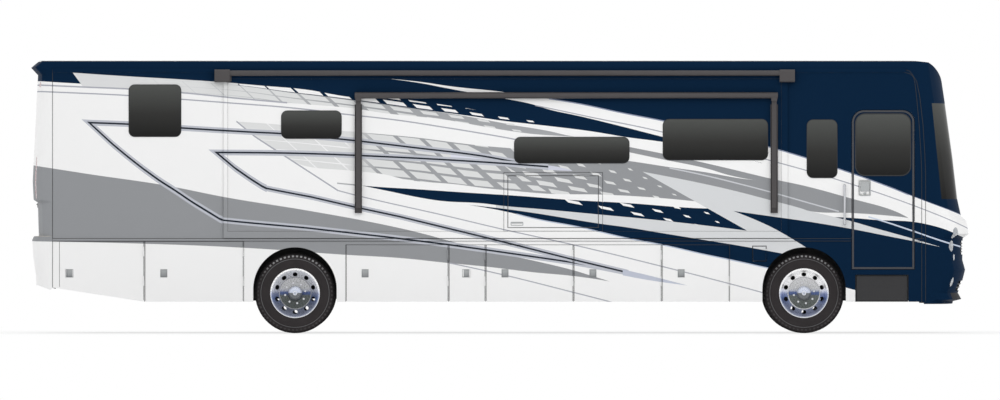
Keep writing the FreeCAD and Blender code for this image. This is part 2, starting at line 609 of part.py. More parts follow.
def make_skirt(side, doors):
    skirt = skirt_blank(side)
    face = side * HALF_WIDTH
    tools = [arch_cut(REAR_AXLE), arch_cut(FRONT_AXLE)]
    hinges = []
    for name, rear, front in doors:
        x0, x1, top = door_span(rear, front)
        tools.append(box(x0 - GAP, x1 + GAP, -2000, 2000, 0, top + GAP))
        hinges += [upright_hinge(x1 + GAP / 2, face, side, z)[0] for z in hinge_heights(top)]
    if side < 0:
        tools.append(entry_opening(GAP, -HALF_WIDTH - 50, -HALF_WIDTH + WALL + 50))
        tools.append(box(STEP_REAR - GAP, STEP_FRONT + GAP, -HALF_WIDTH - 50, 0, 0, STEP_TOP + GAP))
        tools.append(box(FLAP_REAR - GAP, FLAP_FRONT + GAP, -2000, 0, FLAP_BOTTOM - GAP, FLAP_TOP + GAP))
        hinges.append(flap_hinge()[0])
    belt_y = sorted((side * (HALF_WIDTH - WALL), side * (HALF_WIDTH + BELT_PROUD)))
    belt = box(REAR_SEAM, FRONT_SEAM, belt_y[0], belt_y[1], BELT_TOP - BELT_HEIGHT, BELT_TOP)
    if side < 0:
        belt = belt.cut(box(DOOR_REAR - GAP, DOOR_FRONT + GAP, -2000, 0, 0, 3000))
    return fuse([cut(skirt, tools), belt] + hinges)


def flap_hinge():
    return upright_hinge(FLAP_FRONT + GAP / 2, -HALF_WIDTH, -1, FLAP_BOTTOM + FLAP_HINGE_RISE)


def make_fuel_flap():
    leaf = box(FLAP_REAR, FLAP_FRONT, -HALF_WIDTH, -HALF_WIDTH + FLAP_LEAF, FLAP_BOTTOM, FLAP_TOP)
    return leaf.fuse(flap_hinge()[1])


def make_storage_bays():
    """Pass-through luggage bays between the axles, and two lockers behind the rear wheels."""
    sheet, half = BAY_SHEET, BAY_SHEET / 2
    wall_y = HALF_WIDTH - SKIRT
    floor_y = wall_y - BAY_RECESS
    posts = RIGHT_POSTS
    plates = [box(posts["mid_a"] - half, posts["front_arch"] + half, -floor_y, floor_y, BAY_FLOOR,
                  BAY_FLOOR + sheet)]
    for key in ("mid_a", "mid_b", "mid_d", "mid_e", "front_arch"):
        x = posts[key]
        plates.append(box(x - half, x + half, -wall_y, wall_y, BAY_FLOOR, RAIL_BOTTOM))
    x = posts["mid_c"]
    plates.append(box(x - half, x + half, -wall_y, -RAIL_Y, BAY_FLOOR, RAIL_BOTTOM))
    bays = fuse(plates)
    tail, engine, arch = posts["tail"], posts["engine"], posts["rear_arch"]
    back = -LOCKER_BACK
    lockers = [
        box(tail - half, engine, -floor_y, back, TAIL_LOCKER_FLOOR, TAIL_LOCKER_FLOOR + sheet),
        box(engine, arch + half, -floor_y, back, BAY_FLOOR, BAY_FLOOR + sheet),
        box(tail - half, engine + half, back, back + sheet, TAIL_LOCKER_FLOOR, FLOOR_BOTTOM),
        box(engine - half, arch + half, back, back + sheet, BAY_FLOOR, FLOOR_BOTTOM),
        box(tail - half, tail + half, -wall_y, back, TAIL_LOCKER_FLOOR, FLOOR_BOTTOM),
        box(engine - half, engine + half, -wall_y, back, BAY_FLOOR, FLOOR_BOTTOM),
        box(arch - half, arch + half, -wall_y, back, BAY_FLOOR, FLOOR_BOTTOM),
    ]
    under_belt = box(-6000, 6000, -2000, 2000, 0, BELT_TOP - BELT_HEIGHT)
    behind_belt = box(-6000, 6000, -HALF_WIDTH + WALL, 2000, 0, FLOOR_BOTTOM)
    return [bays, fuse(lockers).common(under_belt.fuse(behind_belt))]


# ---------------------------------------------------------------- caps and windshield
def ahead_of_seam():
    """Space in front of the joint between the side walls and the front cap."""
    face = seam_outline([(ROOF_FRONT, ROOF_TOP + 200), (6500.0, ROOF_TOP + 200), (6500.0, 100.0),
                         (FRONT_SEAM, 100.0)])
    face.translate(V(0, -2000, 0))
    return face.extrude(V(0, 4000, 0))


def windshield_space():
    (top_x, top_z), (low_x, low_z) = WINDSHIELD
    return prism_xz([(top_x, top_z), (6500, top_z), (6500, low_z), (low_x, low_z)], -2000, 2000)


def round_lamp(side, lamp, grow):
    y, z, diameter, turn = lamp
    angle = math.radians(turn)
    ahead = V(math.cos(angle), side * math.sin(angle), 0)
    foot = V(LAMP_ORIGIN_X, side * y, z) - ahead * 250
    return Part.makeCylinder(diameter / 2 + grow, 700, foot, ahead)


def long_lamp(side, lamp, grow):
    y, z, wide, tall = lamp
    half_y, half_z = wide / 2 + grow, tall / 2 + grow
    solid = box(-6000, -5400, side * y - half_y, side * y + half_y, z - half_z, z + half_z)
    along = [e for e in solid.Edges if abs(e.tangentAt(e.FirstParameter).x) > 0.99]
    return solid.makeFillet(min(half_y, half_z) * REAR_LAMP_ROUND, along)


def grille_space(half, bottom, top, grow):
    return box(5200, 6000, -half - grow, half + grow, bottom - grow, top + grow)


def make_front_cap(outer):
    shell = outer.cut(front_form(CAP)).common(ahead_of_seam())
    tools = [windshield_space()]
    tools += [round_lamp(side, lamp, 0) for side in (-1, 1) for lamp in FRONT_LAMPS]
    tools.append(grille_space(GRILLE_HALF, GRILLE_BOTTOM, GRILLE_TOP, 0))
    tools.append(grille_space(INTAKE_HALF, INTAKE_BOTTOM, INTAKE_TOP, 0))
    return cut(shell, tools)


def make_headlamps(outer):
    lens = outer.cut(front_form(LAMP_DEPTH))
    return [lens.common(round_lamp(side, lamp, -LAMP_SEAT)) for side in (-1, 1) for lamp in FRONT_LAMPS]


def make_grilles():
    """Level bars across both intakes, held by uprights at their backs."""
    bar_face, bar_back = front_form(BAR_FACE), front_form(BAR_BACK)
    rib_face, rib_back = front_form(RIB_FACE), front_form(RIB_BACK)
    pieces = []
    grilles = ((GRILLE_HALF, GRILLE_BOTTOM, GRILLE_TOP), (INTAKE_HALF, INTAKE_BOTTOM, INTAKE_TOP))
    for half, bottom, top in grilles:
        space = grille_space(half, bottom, top, -SEAT)
        count = int((top - bottom) / BAR_PITCH)
        pitch = (top - bottom) / (count + 1)
        levels = [bottom + pitch * (i + 1) for i in range(count)]
        bars = [box(5200, 6000, -half, half, z - BAR / 2, z + BAR / 2) for z in levels]
        face = bar_face.cut(bar_back).common(fuse(bars))
        uprights = [box(5200, 6000, y - BAR / 2, y + BAR / 2, bottom, top)
                    for y in (-half + BAR, -half / 3, half / 3, half - BAR)]
        ribs = rib_face.cut(rib_back).common(fuse(uprights))
        pieces.append(face.fuse(ribs).common(space).removeSplitter())
    return pieces


def make_rear_cap(outer):
    behind = box(-6500, REAR_SEAM, -2000, 2000, 0, 4000)
    shell = outer.cut(rear_form(CAP)).common(behind)
    half = ENGINE_DOOR_HALF + GAP
    tools = [box(-6000, -5500, -half, half, ENGINE_DOOR_BOTTOM - GAP, ENGINE_DOOR_TOP + GAP)]
    tools += [long_lamp(side, lamp, 0) for side in (-1, 1) for lamp in REAR_LAMPS]
    tools.append(box(-6000, -5500, -HITCH_MOUTH, HITCH_MOUTH, HITCH_Z - HITCH_MOUTH + CAP / 2,
                     HITCH_Z + HITCH_MOUTH))
    toe = [(-6500, CAP_TOE[0][1])] + CAP_TOE + [(REAR_SEAM + 10, 0), (-6500, 0)]
    tools.append(prism_xz(toe, -2000, 2000))
    return fuse([cut(shell, tools)] + [engine_hinge(y)[0] for y in ENGINE_HINGES])


def make_tail_lamps(outer):
    lens = outer.cut(rear_form(LAMP_DEPTH))
    return [lens.common(long_lamp(side, lamp, -LAMP_SEAT)) for side in (-1, 1) for lamp in REAR_LAMPS]


# ---------------------------------------------------------------- rear engine door


def engine_hinge(y):
    origin = (ENGINE_DOOR_X - HINGE_PROUD, y, ENGINE_DOOR_TOP + GAP / 2)
    return hinge(origin, (0, 1, 0), (0, 0, -1), (-1, 0, 0), ENGINE_PACKER)


# ---------------------------------------------------------------- slide-out room


def make_slide_wall():
    """Outer wall of the slide-out room: fascia, set-back panel, window holes and hatch frame."""
    flange = box(FASCIA_REAR, FASCIA_FRONT, ROOM_FACE - FASCIA, ROOM_FACE, FASCIA_BOTTOM, FASCIA_TOP)
    step = box(SLIDE_REAR, SLIDE_FRONT, -2000, PANEL_FACE, SLIDE_BOTTOM, FASCIA_TOP - FASCIA_HEAD)
    outer = flange.cut(step)
    panel = box(SLIDE_REAR, SLIDE_FRONT, ROOM_FACE, ROOM_FACE + ROOM_WALL, SLIDE_BOTTOM, SLIDE_TOP)
    x0, x1, z0, z1 = HATCH_FRAME
    frame = box(x0, x1, HATCH_FACE, PANEL_FACE, z0, z1)
    y0, y1 = -2000, ROOM_FACE + ROOM_WALL + 10
    hole = box(HATCH_REAR - GAP, HATCH_FRONT + GAP, y0, y1, HATCH_BOTTOM - GAP, HATCH_TOP + GAP)
    tools = [pane(opening(w), y0, y1) for w in SLIDE_WINDOWS] + [hole]
    hinges = [hatch_hinge(x)[0] for x in HATCH_HINGES]
    return fuse([cut(fuse([outer, panel, frame]), tools)] + hinges)


def hatch_hinge(x):
    origin = (x, HATCH_FACE - HINGE_PROUD, HATCH_TOP + GAP / 2)
    return hinge(origin, (1, 0, 0), (0, 0, -1), (0, -1, 0))


def make_slide_box():
    """Floor, ceiling, ends and inner flange of the room behind its outer wall."""
    front, back = ROOM_FACE + ROOM_WALL, ROOM_BACK
    rim = back + INNER_FLANGE_THICK
    shell = box(SLIDE_REAR, SLIDE_FRONT, front, back, SLIDE_BOTTOM, SLIDE_TOP)
    inside = box(SLIDE_REAR + ROOM_WALL, SLIDE_FRONT - ROOM_WALL, front - 1, rim + 10,
                 SLIDE_BOTTOM + ROOM_WALL, SLIDE_TOP - ROOM_WALL)
    flange = box(SLIDE_REAR - INNER_FLANGE, SLIDE_FRONT + INNER_FLANGE, back, rim,
                 SLIDE_BOTTOM - INNER_FLANGE, SLIDE_TOP + INNER_FLANGE)
    pads = [box(x - GLIDE_PAD_HALF, x + GLIDE_PAD_HALF, back, rim, FLOOR_TOP + SEAT,
                SLIDE_BOTTOM - INNER_FLANGE) for x in GLIDE_PADS]
    room = fuse([shell, flange] + pads).cut(inside).removeSplitter()
    locker = box(HATCH_REAR - 2 * LOCKER_WALL, HATCH_FRONT + 2 * LOCKER_WALL, front, front + LOCKER_DEPTH,
                 SLIDE_BOTTOM + ROOM_WALL, HATCH_TOP + 2 * LOCKER_WALL)
    hollow = box(HATCH_REAR - GAP, HATCH_FRONT + GAP, front - 1, front + LOCKER_DEPTH - LOCKER_WALL,
                 HATCH_BOTTOM - GAP, HATCH_TOP + GAP)
    return room.fuse(locker).cut(hollow).removeSplitter()


def channel(x0, x1, y_back, deep, z0, z1, wall):
    """An upright channel, open away from the coach."""
    body = box(x0, x1, y_back - deep, y_back, z0, z1)
    return body.cut(box(x0 + wall, x1 - wall, y_back - deep - 1, y_back - wall, z0 + wall, z1 + 1))


def make_patio_awning():
    """Rolled tube between two arms; each arm is a channel with its rafter folded inside."""
    y = ROOM_FACE - FASCIA - AWNING_TUBE - 6
    pieces = []
    for x0 in (AWNING_REAR, AWNING_FRONT - AWNING_ARM):
        x1 = x0 + AWNING_ARM
        arm = channel(x0, x1, PANEL_FACE, ARM_DEPTH, ARM_BOTTOM, AWNING_Z - 110, ARM_SHEET)
        rafter = box(x0 + RAFTER_IN, x1 - RAFTER_IN, PANEL_FACE - ARM_DEPTH + 2, PANEL_FACE - ARM_SHEET,
                     ARM_BOTTOM + 60, AWNING_Z - 60)
        head = box(x0 + HEAD_IN, x1 - HEAD_IN, y - 30, PANEL_FACE, AWNING_Z - 70, AWNING_Z + 30)
        pieces.append(fuse([arm, rafter, head]))
    tube = rod(AWNING_TUBE, (AWNING_REAR, y, AWNING_Z), (AWNING_FRONT, y, AWNING_Z))
    return fuse(pieces + [tube])


def make_slide_topper():
    """Rolled topper tube between two end cases on the fascia."""
    back = ROOM_FACE - FASCIA
    y = back - 8 - TOPPER_TUBE
    cases = []
    for x0, edge in ((TOPPER_REAR, FASCIA_REAR), (TOPPER_FRONT - TOPPER_CASE, FASCIA_FRONT - TOPPER_MOUNT)):
        case = box(x0, x0 + TOPPER_CASE, back - TOPPER_DEPTH, back - SEAT, TOPPER_Z - 111, TOPPER_Z + 45)
        along = [e for e in case.Edges if abs(e.tangentAt(e.FirstParameter).x) > 0.99 and
                 e.CenterOfMass.y < back - TOPPER_DEPTH / 2]
        case = case.makeFillet(TOPPER_ROUND, along)
        mount = box(edge, edge + TOPPER_MOUNT, back - 10, back, TOPPER_Z - 100, FASCIA_TOP)
        cases.append(case.fuse(mount))
    tube = rod(TOPPER_TUBE, (TOPPER_REAR + 20, y, TOPPER_Z), (TOPPER_FRONT - 20, y, TOPPER_Z))
    return fuse(cases + [tube])


# ---------------------------------------------------------------- entry
def make_entry_door():
    y0, y1 = -HALF_WIDTH, -HALF_WIDTH + SKIRT
    shape = (DOOR_REAR, DOOR_FRONT, DOOR_BOTTOM, DOOR_TOP, DOOR_CORNER)
    leaf = pane(shape, y0, y1).fuse(box(DOOR_REAR, DOOR_FRONT, y0, y1, DOOR_BOTTOM, DOOR_BOTTOM + 400))
    x0, x1, z0, z1 = LOCK_RECESS
    lock = box(x0, x1, y0 - 1, y0 + LOCK_DEEP, z0, z1)
    leaf = cut(leaf.removeSplitter(), [pane(opening(DOOR_WINDOW), y0 - 50, y1 + 50), lock])
    x0, x1, z0, z1 = PADDLE
    paddle = box(x0, x1, y0 + 3, y0 + LOCK_DEEP, z0, z1)
    hinges = [upright_hinge(DOOR_FRONT + GAP / 2, -HALF_WIDTH, -1, z)[1] for z in ENTRY_HINGES]
    return fuse([leaf, paddle] + hinges)


def make_stairwell():
    """Two inner steps between the doorway and the floor, boxed in below."""
    sheet = STAIR_SHEET
    x0, x1 = DOOR_REAR - GAP, DOOR_FRONT + GAP
    outer = -HALF_WIDTH + WALL + 2
    rise = (FLOOR_TOP - DOOR_BOTTOM) / 2
    middle = -(STAIR_INNER + STAIR_DEPTH)
    low = DOOR_BOTTOM - sheet
    tread_1 = box(x0, x1, outer, middle, low, DOOR_BOTTOM)
    riser_1 = box(x0, x1, middle, middle + sheet, low, DOOR_BOTTOM + rise)
    tread_2 = box(x0, x1, middle, -STAIR_INNER, DOOR_BOTTOM + rise - sheet, DOOR_BOTTOM + rise)
    riser_2 = box(x0, x1, -STAIR_INNER, -STAIR_INNER + sheet, DOOR_BOTTOM + rise - sheet, FLOOR_BOTTOM)
    ends = [box(x, x + sheet, outer, -STAIR_INNER + sheet, low, FLOOR_BOTTOM) for x in (x0 - sheet, x1)]
    return fuse([tread_1, riser_1, tread_2, riser_2] + ends)


def make_step_housing():
    """Box under the doorway that holds the step drawer, hung from the stairwell."""
    sheet = STEP_SHEET
    back = -HALF_WIDTH + STEP_DEPTH
    outer = box(STEP_REAR, STEP_FRONT, -HALF_WIDTH + 20, back, STEP_BOTTOM, STEP_TOP)
    inner = box(STEP_REAR + sheet, STEP_FRONT - sheet, -HALF_WIDTH, back - sheet, STEP_BOTTOM + sheet,
                STEP_TOP - sheet)
    middle = (STEP_BOTTOM + STEP_TOP) / 2
    wide = STEP_SIDE_PLAY - sheet - SEAT
    runners = [box(x, x + wide, -HALF_WIDTH + 40, back - sheet, middle - 20, middle + 20)
               for x in (STEP_REAR + sheet, STEP_FRONT - sheet - wide)]
    hanger = box(STEP_REAR + 60, STEP_FRONT - 60, -HALF_WIDTH + 120, -HALF_WIDTH + 180, STEP_TOP,
                 DOOR_BOTTOM - STAIR_SHEET)
    return fuse([outer.cut(inner), hanger] + runners)


def make_entry_step():
    """Step drawer: front panel with two treads on side plates."""
    sheet = STEP_PANEL
    x0, x1 = STEP_REAR + STEP_SIDE_PLAY, STEP_FRONT - STEP_SIDE_PLAY
    y0, y1 = -HALF_WIDTH + 24, -HALF_WIDTH + STEP_DEPTH - 30
    z0, z1 = STEP_BOTTOM + 12, STEP_TOP - 12
    front = box(x0, x1, y0, y0 + sheet, z0, z1)
    sides = [box(x, x + sheet, y0, y1, z0, z1) for x in (x0, x1 - sheet)]
    upper = z0 + UPPER_TREAD_RISE
    treads = [box(x0, x1, y0, y1, z0, z0 + sheet),
              box(x0, x1, y0 + UPPER_TREAD_BACK, y1, upper, upper + sheet)]
    return fuse([front] + sides + treads)


def make_grab_handle():
    """Upright bar beside the door, on two short stand-offs."""
    x, y = HANDLE_X, -HALF_WIDTH - HANDLE_OFF
    low, high = HANDLE_BOTTOM + HANDLE_RADIUS, HANDLE_TOP - HANDLE_RADIUS
    shapes = [rod(HANDLE_RADIUS, (x, y, low), (x, y, high))]
    for z in (low, high):
        shapes.append(Part.makeSphere(HANDLE_RADIUS, V(x, y, z)))
        shapes.append(rod(HANDLE_RADIUS, (x, y, z), (x, -HALF_WIDTH, z)))
    return fuse(shapes)


# ---------------------------------------------------------------- floor, chassis and running gear
def make_floor():
    slab = box(FLOOR_REAR, FLOOR_FRONT, -HALF_WIDTH + WALL, HALF_WIDTH - WALL, FLOOR_BOTTOM, FLOOR_TOP)
    well = box(DOOR_REAR - GAP - 10, DOOR_FRONT + GAP + 10, -2000, -STAIR_INNER, 0, 2000)
    return slab.cut(well)


def housing_solid(x, radius, y0, y1, foot):
    """A half round over an axle with straight legs down to foot."""
    round_part = rod(radius, (x, y0, AXLE_Z), (x, y1, AXLE_Z))
    legs = box(x - radius, x + radius, y0, y1, foot, AXLE_Z)
    above = box(x - 2 * radius, x + 2 * radius, y0, y1, foot, AXLE_Z + 2 * radius)
    return round_part.fuse(legs).common(above).removeSplitter()


def liner(x, radius, y0, y1, foot):
    """The band of a wheel housing."""
    inside = housing_solid(x, radius, y0 - 1, y1 + 1, foot - 1)
    return housing_solid(x, radius + LINER_SHEET, y0, y1, foot).cut(inside)


def make_wheel_housings():
    """Each housing is a half-round band closed by a flat inner wall, notched round the axle."""
    shells = []
    outer = HALF_WIDTH - SKIRT
    rear = (REAR_AXLE, REAR_LINER, REAR_LINER_INNER)
    front = (FRONT_AXLE, FRONT_LINER, FRONT_LINER_INNER)
    for x, radius, inner in (rear, front):
        band = liner(x, radius, inner, outer, LINER_FOOT)
        wall = housing_solid(x, radius + LINER_SHEET, inner, inner + LINER_SHEET, LINER_FOOT)
        notch = box(x - AXLE_NOTCH, x + AXLE_NOTCH, 0, outer, 0, AXLE_NOTCH_TOP)
        shell = band.fuse(wall.cut(notch)).removeSplitter()
        shells += [shell, mirror_y(shell)]
    return shells


def make_chassis():
    """Two channel rails joined by T-shaped cross members, with pads for the levelling jacks."""
    top = FLOOR_BOTTOM
    shapes = []
    for side in (-1, 1):
        web = sorted((side * RAIL_Y, side * (RAIL_Y + RAIL_WEB)))
        flange = sorted((side * (RAIL_Y + RAIL_WEB), side * (RAIL_Y - RAIL_FLANGE)))
        shapes.append(box(RAIL_REAR, RAIL_FRONT, web[0], web[1], RAIL_BOTTOM, top))
        shapes.append(box(RAIL_REAR, RAIL_FRONT, flange[0], flange[1], RAIL_BOTTOM, RAIL_BOTTOM + RAIL_WEB))
        shapes.append(box(RAIL_REAR, RAIL_FRONT, flange[0], flange[1], top - RAIL_WEB, top))
    foot = RAIL_BOTTOM + 40
    for x in CROSS_MEMBERS:
        shapes.append(box(x - 40, x + 40, -RAIL_Y, RAIL_Y, foot, foot + 12))
        shapes.append(box(x - 5, x + 5, -RAIL_Y, RAIL_Y, foot, top - RAIL_WEB))
    for x in JACK_PADS:
        for side in (-1, 1):
            pad = sorted((side * (RAIL_Y + RAIL_WEB), side * (RAIL_Y - JACK_PAD_IN)))
            shapes.append(box(x - JACK_PAD_HALF, x + JACK_PAD_HALF, pad[0], pad[1],
                              RAIL_BOTTOM - JACK_PAD_THICK, RAIL_BOTTOM))
    return fuse(shapes)


def make_hitch():
    """Receiver tube with its upright pin bore, on drop plates from the frame rails."""
    half, bore = HITCH_OUTER / 2, HITCH_BORE / 2
    front = HITCH_END + HITCH_LENGTH
    bottom, top = HITCH_Z - half, HITCH_Z + half
    tube = box(HITCH_END, front, -half, half, bottom, top)
    cross = box(front - HITCH_CROSS, front, -RAIL_Y - 20, RAIL_Y + 20, bottom, top)
    shapes = [tube, cross]
    inner = RAIL_Y + RAIL_WEB
    for side in (-1, 1):
        plate = sorted((side * inner, side * (inner + HITCH_PLATE)))
        shapes.append(box(front - 120, front + 60, plate[0], plate[1], bottom, FLOOR_BOTTOM - 60))
    body = fuse(shapes)
    hollow = box(HITCH_END - 1, HITCH_END + HITCH_SOCKET, -bore, bore, HITCH_Z - bore, HITCH_Z + bore)
    pin_x = HITCH_END + HITCH_PIN_IN
    pin = rod(HITCH_PIN / 2, (pin_x, 0, HITCH_Z - 60), (pin_x, 0, HITCH_Z + 60))
    return body.cut([hollow, pin])


def make_engine():
    """Rear engine as a plain block, with its gearbox, drive shaft and radiator."""
    pinion_z = AXLE_Z + PINION_RISE
    block = box(ENGINE_REAR, ENGINE_FRONT, -ENGINE_HALF, ENGINE_HALF, ENGINE_BOTTOM, ENGINE_TOP)
    gearbox = rod(GEARBOX_RADIUS, (ENGINE_FRONT, 0, GEARBOX_Z), (GEARBOX_FRONT, 0, GEARBOX_Z))
    shaft = rod(SHAFT_RADIUS, (GEARBOX_FRONT, 0, SHAFT_Z), (PINION_END - 15, 0, pinion_z))
    flange = rod(FLANGE_RADIUS, (PINION_END - FLANGE_THICK, 0, pinion_z), (PINION_END - SEAT, 0, pinion_z))
    radiator = box(RADIATOR_REAR, RADIATOR_FRONT, -RADIATOR_HALF, RADIATOR_HALF, RADIATOR_BOTTOM, ENGINE_TOP)
    pipes = rod(40, (RADIATOR_FRONT, 0, 900), (ENGINE_REAR, 0, 900))
    return fuse([block, gearbox, shaft, flange, radiator, pipes])


def make_rear_axle():
    """Driven axle: spindles, tube, differential, spring beams and air springs."""
    x = REAR_AXLE
    y_spindle = TRACK_HALF + 20
    pinion_z = AXLE_Z + PINION_RISE
    shapes = [rod(SPINDLE, (x, -y_spindle, AXLE_Z), (x, y_spindle, AXLE_Z)),
              rod(AXLE_TUBE, (x, -AXLE_TUBE_END, AXLE_Z), (x, AXLE_TUBE_END, AXLE_Z)),
              Part.makeSphere(DIFFERENTIAL, V(x, 0, AXLE_Z)),
              rod(PINION_RADIUS, (PINION_END, 0, pinion_z), (x, 0, pinion_z))]
    for side in (-1, 1):
        beam_y, spring_y = side * SPRING_BEAM_Y, side * REAR_SPRING_Y
        shapes.append(box(x - SPRING_BEAM_REACH, x + SPRING_BEAM_REACH, beam_y - SPRING_BEAM_HALF,
                          beam_y + SPRING_BEAM_HALF, SPRING_BEAM_BOTTOM, SPRING_BEAM_TOP))
        for spring_x in (x - REAR_SPRING_X, x + REAR_SPRING_X):
            shapes.append(rod(REAR_SPRING, (spring_x, spring_y, SPRING_BEAM_TOP),
                              (spring_x, spring_y, RAIL_BOTTOM - SEAT)))
    return fuse(shapes)


def make_front_axle():
    """Beam axle with a kingpin boss at each end and its air springs."""
    x = FRONT_AXLE
    shapes = [box(x - BEAM_HALF, x + BEAM_HALF, -KINGPIN_Y, KINGPIN_Y, BEAM_BOTTOM, BEAM_TOP)]
    for side in (-1, 1):
        y, spring_y = side * KINGPIN_Y, side * FRONT_SPRING_Y
        shapes.append(rod(KINGPIN_BOSS, (x, y, BEAM_BOTTOM), (x, y, BEAM_TOP)))
        shapes.append(rod(KINGPIN, (x, y, KINGPIN_BOTTOM), (x, y, KINGPIN_TOP)))
        shapes.append(rod(FRONT_SPRING, (x, spring_y, BEAM_TOP), (x, spring_y, RAIL_BOTTOM - SEAT)))
    return fuse(shapes)


def make_knuckle(side):
    """Steering knuckle: yoke plates round the kingpin, upright, spindle and steering arm."""
    x, y = FRONT_AXLE, side * KINGPIN_Y
    ball_x = x - ARM_BACK
    reach = FRONT_TRACK + 110
    bottom, top = YOKES[0][0], YOKES[-1][1]
    yokes = []
    for z0, z1 in YOKES:
        ys = sorted((y, y + side * YOKE_REACH))
        yokes.append(rod(YOKE_RADIUS, (x, y, z0), (x, y, z1)))
        yokes.append(box(x - YOKE_RADIUS, x + YOKE_RADIUS, ys[0], ys[1], z0, z1))
    web = sorted((y + side * UPRIGHT_IN, y + side * UPRIGHT_OUT))
    upright = box(x - UPRIGHT_HALF, x + UPRIGHT_HALF, web[0], web[1], bottom, top)
    spindle = rod(SPINDLE, (x, y + side * 80, AXLE_Z), (x, side * reach, AXLE_Z))
    arm_y = sorted((y - side * ARM_HALF, y + side * ARM_HALF))
    arm = box(ball_x, x - 20, arm_y[0], arm_y[1], bottom, bottom + ARM_THICK)
    eye = rod(ARM_EYE, (ball_x, y, bottom), (ball_x, y, bottom + ARM_THICK))
    ball = rod(BALL, (ball_x, y, BALL_BOTTOM), (ball_x, y, bottom))
    body = fuse(yokes + [upright, spindle, arm, eye, ball])
    return body.cut(rod(KINGPIN + FIT, (x, y, KINGPIN_BOTTOM - 5), (x, y, KINGPIN_TOP + 5)))


def make_tie_rod():
    """Rod between the steering arms; its far eye is slack so that both wheels steer alike."""
    x, z = FRONT_AXLE - ARM_BACK, TIE_ROD_Z
    half = TIE_ROD_EYE_HALF
    shapes = [rod(TIE_ROD, (x, -KINGPIN_Y, z), (x, KINGPIN_Y, z))]
    bores = []
    for side, slack in ((1, FIT), (-1, BALL_SLACK)):
        y = side * KINGPIN_Y
        shapes.append(rod(TIE_ROD_EYE, (x, y, z - half), (x, y, z + half)))
        bores.append(rod(BALL + slack, (x, y, z - half - 10), (x, y, z + half + 10)))
    return fuse(shapes).cut(bores)


def make_fuel_tank():
    """Tank across the frame behind the front wheels, with two straps and its filler neck."""
    tank = box(TANK_REAR, TANK_FRONT, -TANK_HALF, TANK_HALF, TANK_BOTTOM, RAIL_BOTTOM - 15)
    along = [e for e in tank.Edges if abs(e.tangentAt(e.FirstParameter).y) > 0.99]
    tank = tank.makeFillet(TANK_ROUND, along)
    straps = [box(TANK_REAR - 10, TANK_FRONT + 10, y - STRAP_HALF, y + STRAP_HALF, TANK_BOTTOM - 6,
                  RAIL_BOTTOM - SEAT) for y in (-STRAP_Y, STRAP_Y)]
    neck = rod(30, (3040, -1050, 800), (3160, -1215, 975))
    return fuse([tank, neck] + straps)


# ---------------------------------------------------------------- wheels


def profile_y(points, x, y, side):
    """Flat half-section of (offset outboard, radius) above the wheel's axis."""
    corners = [V(x, y + side * along, AXLE_Z + radius) for along, radius in points]
    return Part.Face(Part.makePolygon(corners + corners[:1]))


def turn_y(sections, x, y):
    """Joins flat half-sections into one and turns it about the wheel's axis."""
    joined = fuse(sections)
    return fuse([face.revolve(V(x, y, AXLE_Z), V(0, 1, 0), 360) for face in joined.Faces])


def tyre(x, y, side):
    w, bead = TYRE_WIDTH / 2, RIM_WIDTH / 2 - 9
    r0, r1 = RIM_SEAT + SEAT, TYRE_RADIUS
    lip = RIM_FLANGE + SEAT
    half = [(bead - SEAT, r0), (bead - SEAT, lip), (bead + 14, lip + 10), (w - 2, r0 + 75), (w, r0 + 112),
            (w - 10, r1 - 26), (w - 24, r1 - 6), (w - 44, r1)]
    return turn_y([profile_y(half + [(-a, r) for a, r in reversed(half)], x, y, side)], x, y)


def rim_sections(x, y, side, mount):
    """Rim and disc; mount is the offset of the disc's outer face, outboard of the tyre's middle."""
    w = RIM_WIDTH / 2
    barrel = [(-w, RIM_FLANGE), (-w, RIM_SEAT - 10), (-w + 30, RIM_SEAT - 12), (-w + 60, RIM_SEAT - 34),
              (w - 60, RIM_SEAT - 34), (w - 30, RIM_SEAT - 12), (w, RIM_SEAT - 10), (w, RIM_FLANGE),
              (w - 9, RIM_FLANGE), (w - 9, RIM_SEAT), (w - 32, RIM_SEAT - 2), (w - 62, RIM_SEAT - 24),
              (-w + 62, RIM_SEAT - 24), (-w + 32, RIM_SEAT - 2), (-w + 9, RIM_SEAT), (-w + 9, RIM_FLANGE)]
    join = disc_join(mount)
    disc = [(mount, HUB_RADIUS), (mount, 190), (join, RIM_SEAT - 30), (join - DISC, RIM_SEAT - 30),
            (mount - DISC, 184), (mount - DISC, HUB_RADIUS)]
    return [profile_y(barrel, x, y, side), profile_y(disc, x, y, side)]


def disc_join(mount):
    """Offset at which the disc's cone meets the rim."""
    reach = RIM_WIDTH / 2 - 66
    return max(-reach, min(reach, mount))


def hand_holes(x, y, side, mount):
    start, end = min(mount, disc_join(mount)) - 40, max(mount, disc_join(mount)) + 20
    holes = []
    for turn in range(HAND_HOLES):
        angle = 2 * math.pi * (turn + 0.5) / HAND_HOLES
        for lean in (-HAND_HOLE_STRETCH, HAND_HOLE_STRETCH):
            hx = x + HAND_HOLE_RADIUS * math.cos(angle) - lean * math.sin(angle)
            hz = AXLE_Z + HAND_HOLE_RADIUS * math.sin(angle) + lean * math.cos(angle)
            holes.append(rod(HAND_HOLE, (hx, y + side * start, hz), (hx, y + side * end, hz)))
    return holes


